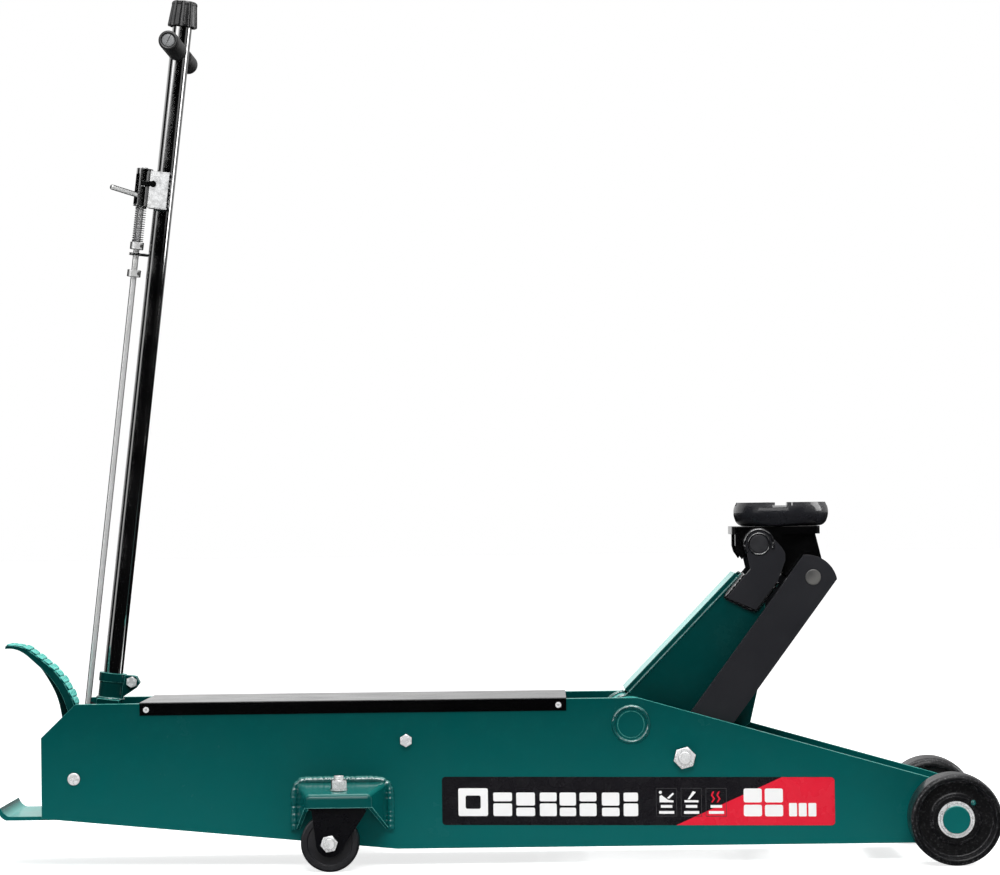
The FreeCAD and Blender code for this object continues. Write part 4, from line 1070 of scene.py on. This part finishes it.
# turned profiles, (radius, height)
NIPPLE = (
    (0.0, 0.0), (4.4, 0.0), (4.4, 4.6), (3.4, 5.2), (2.2, 6.0), (2.2, 7.4), (2.9, 8.2),
    (3.0, 9.2), (2.2, 10.2), (0.9, 10.6), (0.9, 10.0), (0.0, 10.0),
)
GRIP_END = (
    (0.0, 0.0), (15.8, 0.0), (16.3, 1.2), (15.9, 2.8), (14.2, 3.6), (12.0, 3.5),
    (11.2, 2.9), (10.8, 2.2), (10.6, 2.0),
)
CAP_FACE = ((0.6, 1.6), (4.0, 1.75), (8.6, 1.7), (10.0, 1.3), (10.6, 0.2))
CAP_STEPS = 18
CAP_HALF_GAP = 0.55  # from the split's middle to each half of the cap's face
CAP_SPLIT = math.radians(63)  # slope of the split, up from straight ahead
GRIP_REACH = {"right": 166.0, "left": 138.0}


def grease_nipple(sign, side):
    """Nipple in the wheel's hub boss."""
    (u, z), = arc(WHEEL_CENTRE, 39.0, [math.radians(44)])
    place = facing(point(u, z, sign * 196.0), Vector((0, sign, 0)))
    verts, faces = turned(NIPPLE, place, 24)
    make_piece("grease_nipple_" + side, verts, faces, "green_weld", "front_wheel_" + side,
               "green_paint")


def grip_end(sign, side):
    origin = handle_point(0, CROSS_BAR_S, sign * (GRIP_REACH[side] + 0.2))
    verts, faces = turned(GRIP_END, facing(origin, Vector((0, sign, 0))), 40)
    make_piece("grip_end_" + side, verts, faces, "rubber", "handle", "black_rubber")


def grip_cap_face(sign, side):
    """Grey face of the cap, in two halves with a gap between them."""
    centre = handle_point(0, CROSS_BAR_S, sign * (GRIP_REACH[side] + 2.0))
    out = Vector((0, sign, 0))
    along = Vector((math.cos(CAP_SPLIT), 0, math.sin(CAP_SPLIT)))
    square = Vector((-math.sin(CAP_SPLIT), 0, math.cos(CAP_SPLIT)))
    row = CAP_STEPS + 1
    halves = []
    for half in (1, -1):
        verts, faces = [], []
        for radius, height in CAP_FACE:
            for j in range(row):
                t = math.pi * j / CAP_STEPS
                a = radius * math.cos(t)
                b = max(CAP_HALF_GAP, radius * math.sin(t)) * half
                verts.append(centre + (along * a + square * b + out * height) / 1000.0)
        for i in range(len(CAP_FACE) - 1):
            for j in range(CAP_STEPS):
                k = i * row + j
                faces.append((k, k + 1, k + row + 1, k + row))
        halves.append(make_piece(f"cap{side}{half}", verts, faces, "cap_grey", "handle",
                                 "black_rubber"))
    join("grip_cap_face_" + side, halves)


for sign, side in SIDES:
    grease_nipple(sign, side)
    grip_end(sign, side)
    grip_cap_face(sign, side)

# ------------------------------------------------------------------ floor


def floor_material():
    """Pale floor that glows for the camera and is nearly black in reflections."""
    k = Material("pale_floor")
    reflected = k.add("Emission", {"Color": (1, 1, 1), "Strength": 0.005})
    rays = k.add("LightPath").outputs
    base_glow, camera_glow = 0.22, 0.56
    k.set({
        "Base Color": (0.86, 0.86, 0.86),
        "Roughness": 0.8,
        "Specular IOR Level": 0.1,
        "Emission Color": (1, 1, 1),
        "Emission Strength": k.math(
            "MULTIPLY_ADD", rays["Is Camera Ray"], camera_glow, base_glow),
    })
    inputs = {0: rays["Is Glossy Ray"], 1: k.shader.outputs[0], 2: reflected.outputs[0]}
    k.feed(k.output.inputs["Surface"], k.add("MixShader", inputs).outputs[0])
    return k.material


def floor():
    half = 30.0
    mesh = bpy.data.meshes.new("floor")
    corners = [(-half, -half, 0.0), (half, -half, 0.0), (half, half, 0.0), (-half, half, 0.0)]
    mesh.from_pydata(corners, [], [(0, 1, 2, 3)])
    mesh.materials.append(floor_material())
    piece = bpy.data.objects.new("floor", mesh)
    scene.collection.objects.link(piece)


floor()

# ------------------------------------------------------------------ studio world

STRIP_LIGHT, OVERHEAD_LIGHT, BOX_LIGHT = 0.9, 0.75, 3.4
MATT_LOSS = 0.5  # share of the light that matt surfaces don't get
# strips round the horizon: (0 towards +y to 1 towards -y, brightness)
STRIPS = (
    (0.0, 0.82), (0.05, 0.82), (0.11, 1.0), (0.28, 1.0), (0.36, 0.03), (0.60, 0.006),
    (0.665, 1.0), (0.75, 1.0), (0.81, 0.004), (1.0, 0.003),
)
STRIP_FADE = ((0.42, 0.45), (0.56, 1.0))  # (0 towards +x to 1 towards -x, brightness)
OVERHEAD = ((0.38, 0.0), (0.62, 1.0))  # (z of the direction, brightness)
# the bright box's brightness by x (0 to 1), by z, and by y as for the strips
BOX_X = ((0.05, 0.0), (0.07, 1.0), (0.62, 1.0), (0.65, 0.0))
BOX_Z = ((0.17, 0.0), (0.21, 1.0), (0.42, 1.0), (0.46, 0.0))
BOX_Y = ((0.70, 0.0), (0.74, 1.0))


def studio_world():
    """White to the camera; to other rays a dark room with strips and an overhead softbox."""
    world = bpy.data.worlds.new("studio")
    scene.world = world
    world.use_nodes = True
    for node in list(world.node_tree.nodes):
        world.node_tree.nodes.remove(node)
    g = Graph(world.node_tree)
    direction = g.add("TexCoord").outputs["Generated"]
    axes = g.add("SeparateXYZ", {0: direction}).outputs
    x, y, z = axes["X"], axes["Y"], axes["Z"]
    # the small term keeps the length above zero straight up
    squares = g.math("ADD", g.times(x, x), g.times(y, y))
    level_length = g.math("SQRT", g.math("ADD", squares, 0.0001))
    towards_camera = g.math("MULTIPLY_ADD", g.math("DIVIDE", y, level_length), -0.5, 0.5)
    strips = g.ramp(towards_camera, *STRIPS)
    strips = g.times(strips, g.ramp(g.math("MULTIPLY_ADD", x, -0.5, 0.5), *STRIP_FADE))
    overhead = g.ramp(z, *OVERHEAD)
    strips = g.times(strips, g.math("SUBTRACT", 1.0, overhead))
    light = g.math("ADD", g.times(strips, STRIP_LIGHT), g.times(overhead, OVERHEAD_LIGHT))
    rays = g.add("LightPath").outputs
    matt = g.times(rays["Is Diffuse Ray"], MATT_LOSS)
    light = g.times(light, g.math("SUBTRACT", 1.0, matt))
    # one bright box high on the camera's side, seen only by shiny surfaces
    along = g.math("MULTIPLY_ADD", g.math("DIVIDE", x, level_length), 0.5, 0.5)
    box = g.times(g.ramp(along, *BOX_X), g.ramp(z, *BOX_Z))
    box = g.times(box, g.ramp(towards_camera, *BOX_Y))
    box = g.times(g.times(box, rays["Is Glossy Ray"]), BOX_LIGHT)
    light = g.math("ADD", light, box)
    strength = g.add("Mix", {0: rays["Is Camera Ray"], 2: light, 3: 1.0}).outputs[0]
    background = g.add("Background", {"Color": (1, 1, 1), "Strength": strength})
    g.add("OutputWorld", {0: background.outputs[0]})


studio_world()

# ------------------------------------------------------------------ lights and camera


def area_light(name, location, target, size, power):
    light = bpy.data.lights.new(name, "AREA")
    light.shape = "RECTANGLE"
    light.size, light.size_y = size
    light.energy = power
    lamp = bpy.data.objects.new(name, light)
    lamp.location = location
    aim = Vector(target) - Vector(location)
    lamp.rotation_euler = aim.to_track_quat("-Z", "Y").to_euler()
    scene.collection.objects.link(lamp)


def camera():
    """Camera on the jack's right side, looking along +y."""
    data = bpy.data.cameras.new("camera")
    cam = bpy.data.objects.new("camera", data)
    scene.collection.objects.link(cam)
    scene.camera = cam
    data.sensor_width = 36.0
    data.lens = 118.047348
    data.clip_end = 100.0
    cam.location = (0.085546, -5.557939, 0.603945)
    yaw, pitch, roll = -0.0125785, 0.0192398, -0.0131234
    ahead = Vector((
        math.sin(yaw) * math.cos(pitch), math.cos(yaw) * math.cos(pitch), math.sin(pitch)))
    right = ahead.cross(Vector((0, 0, 1))).normalized()
    up = right.cross(ahead)
    turned_to = Matrix((right, up, -ahead)).transposed().to_4x4()
    cam.rotation_euler = (turned_to @ Matrix.Rotation(roll, 4, "Z")).to_euler()


area_light("key_top", location=(0.2, 0.3, 3.4), target=(0, 0, 0.2), size=(3.4, 1.8), power=80)
area_light("fill_front", location=(0.0, -3.6, 3.6), target=(0, 0, 0.3), size=(2.6, 1.4),
           power=130)
area_light("rim_right", location=(3.2, 0.6, 1.7), target=(0.2, 0, 0.3), size=(1.2, 2.0),
           power=45)
scene.view_settings.view_transform = "Standard"
scene.view_settings.look = "None"
camera()

bpy.context.view_layer.update()
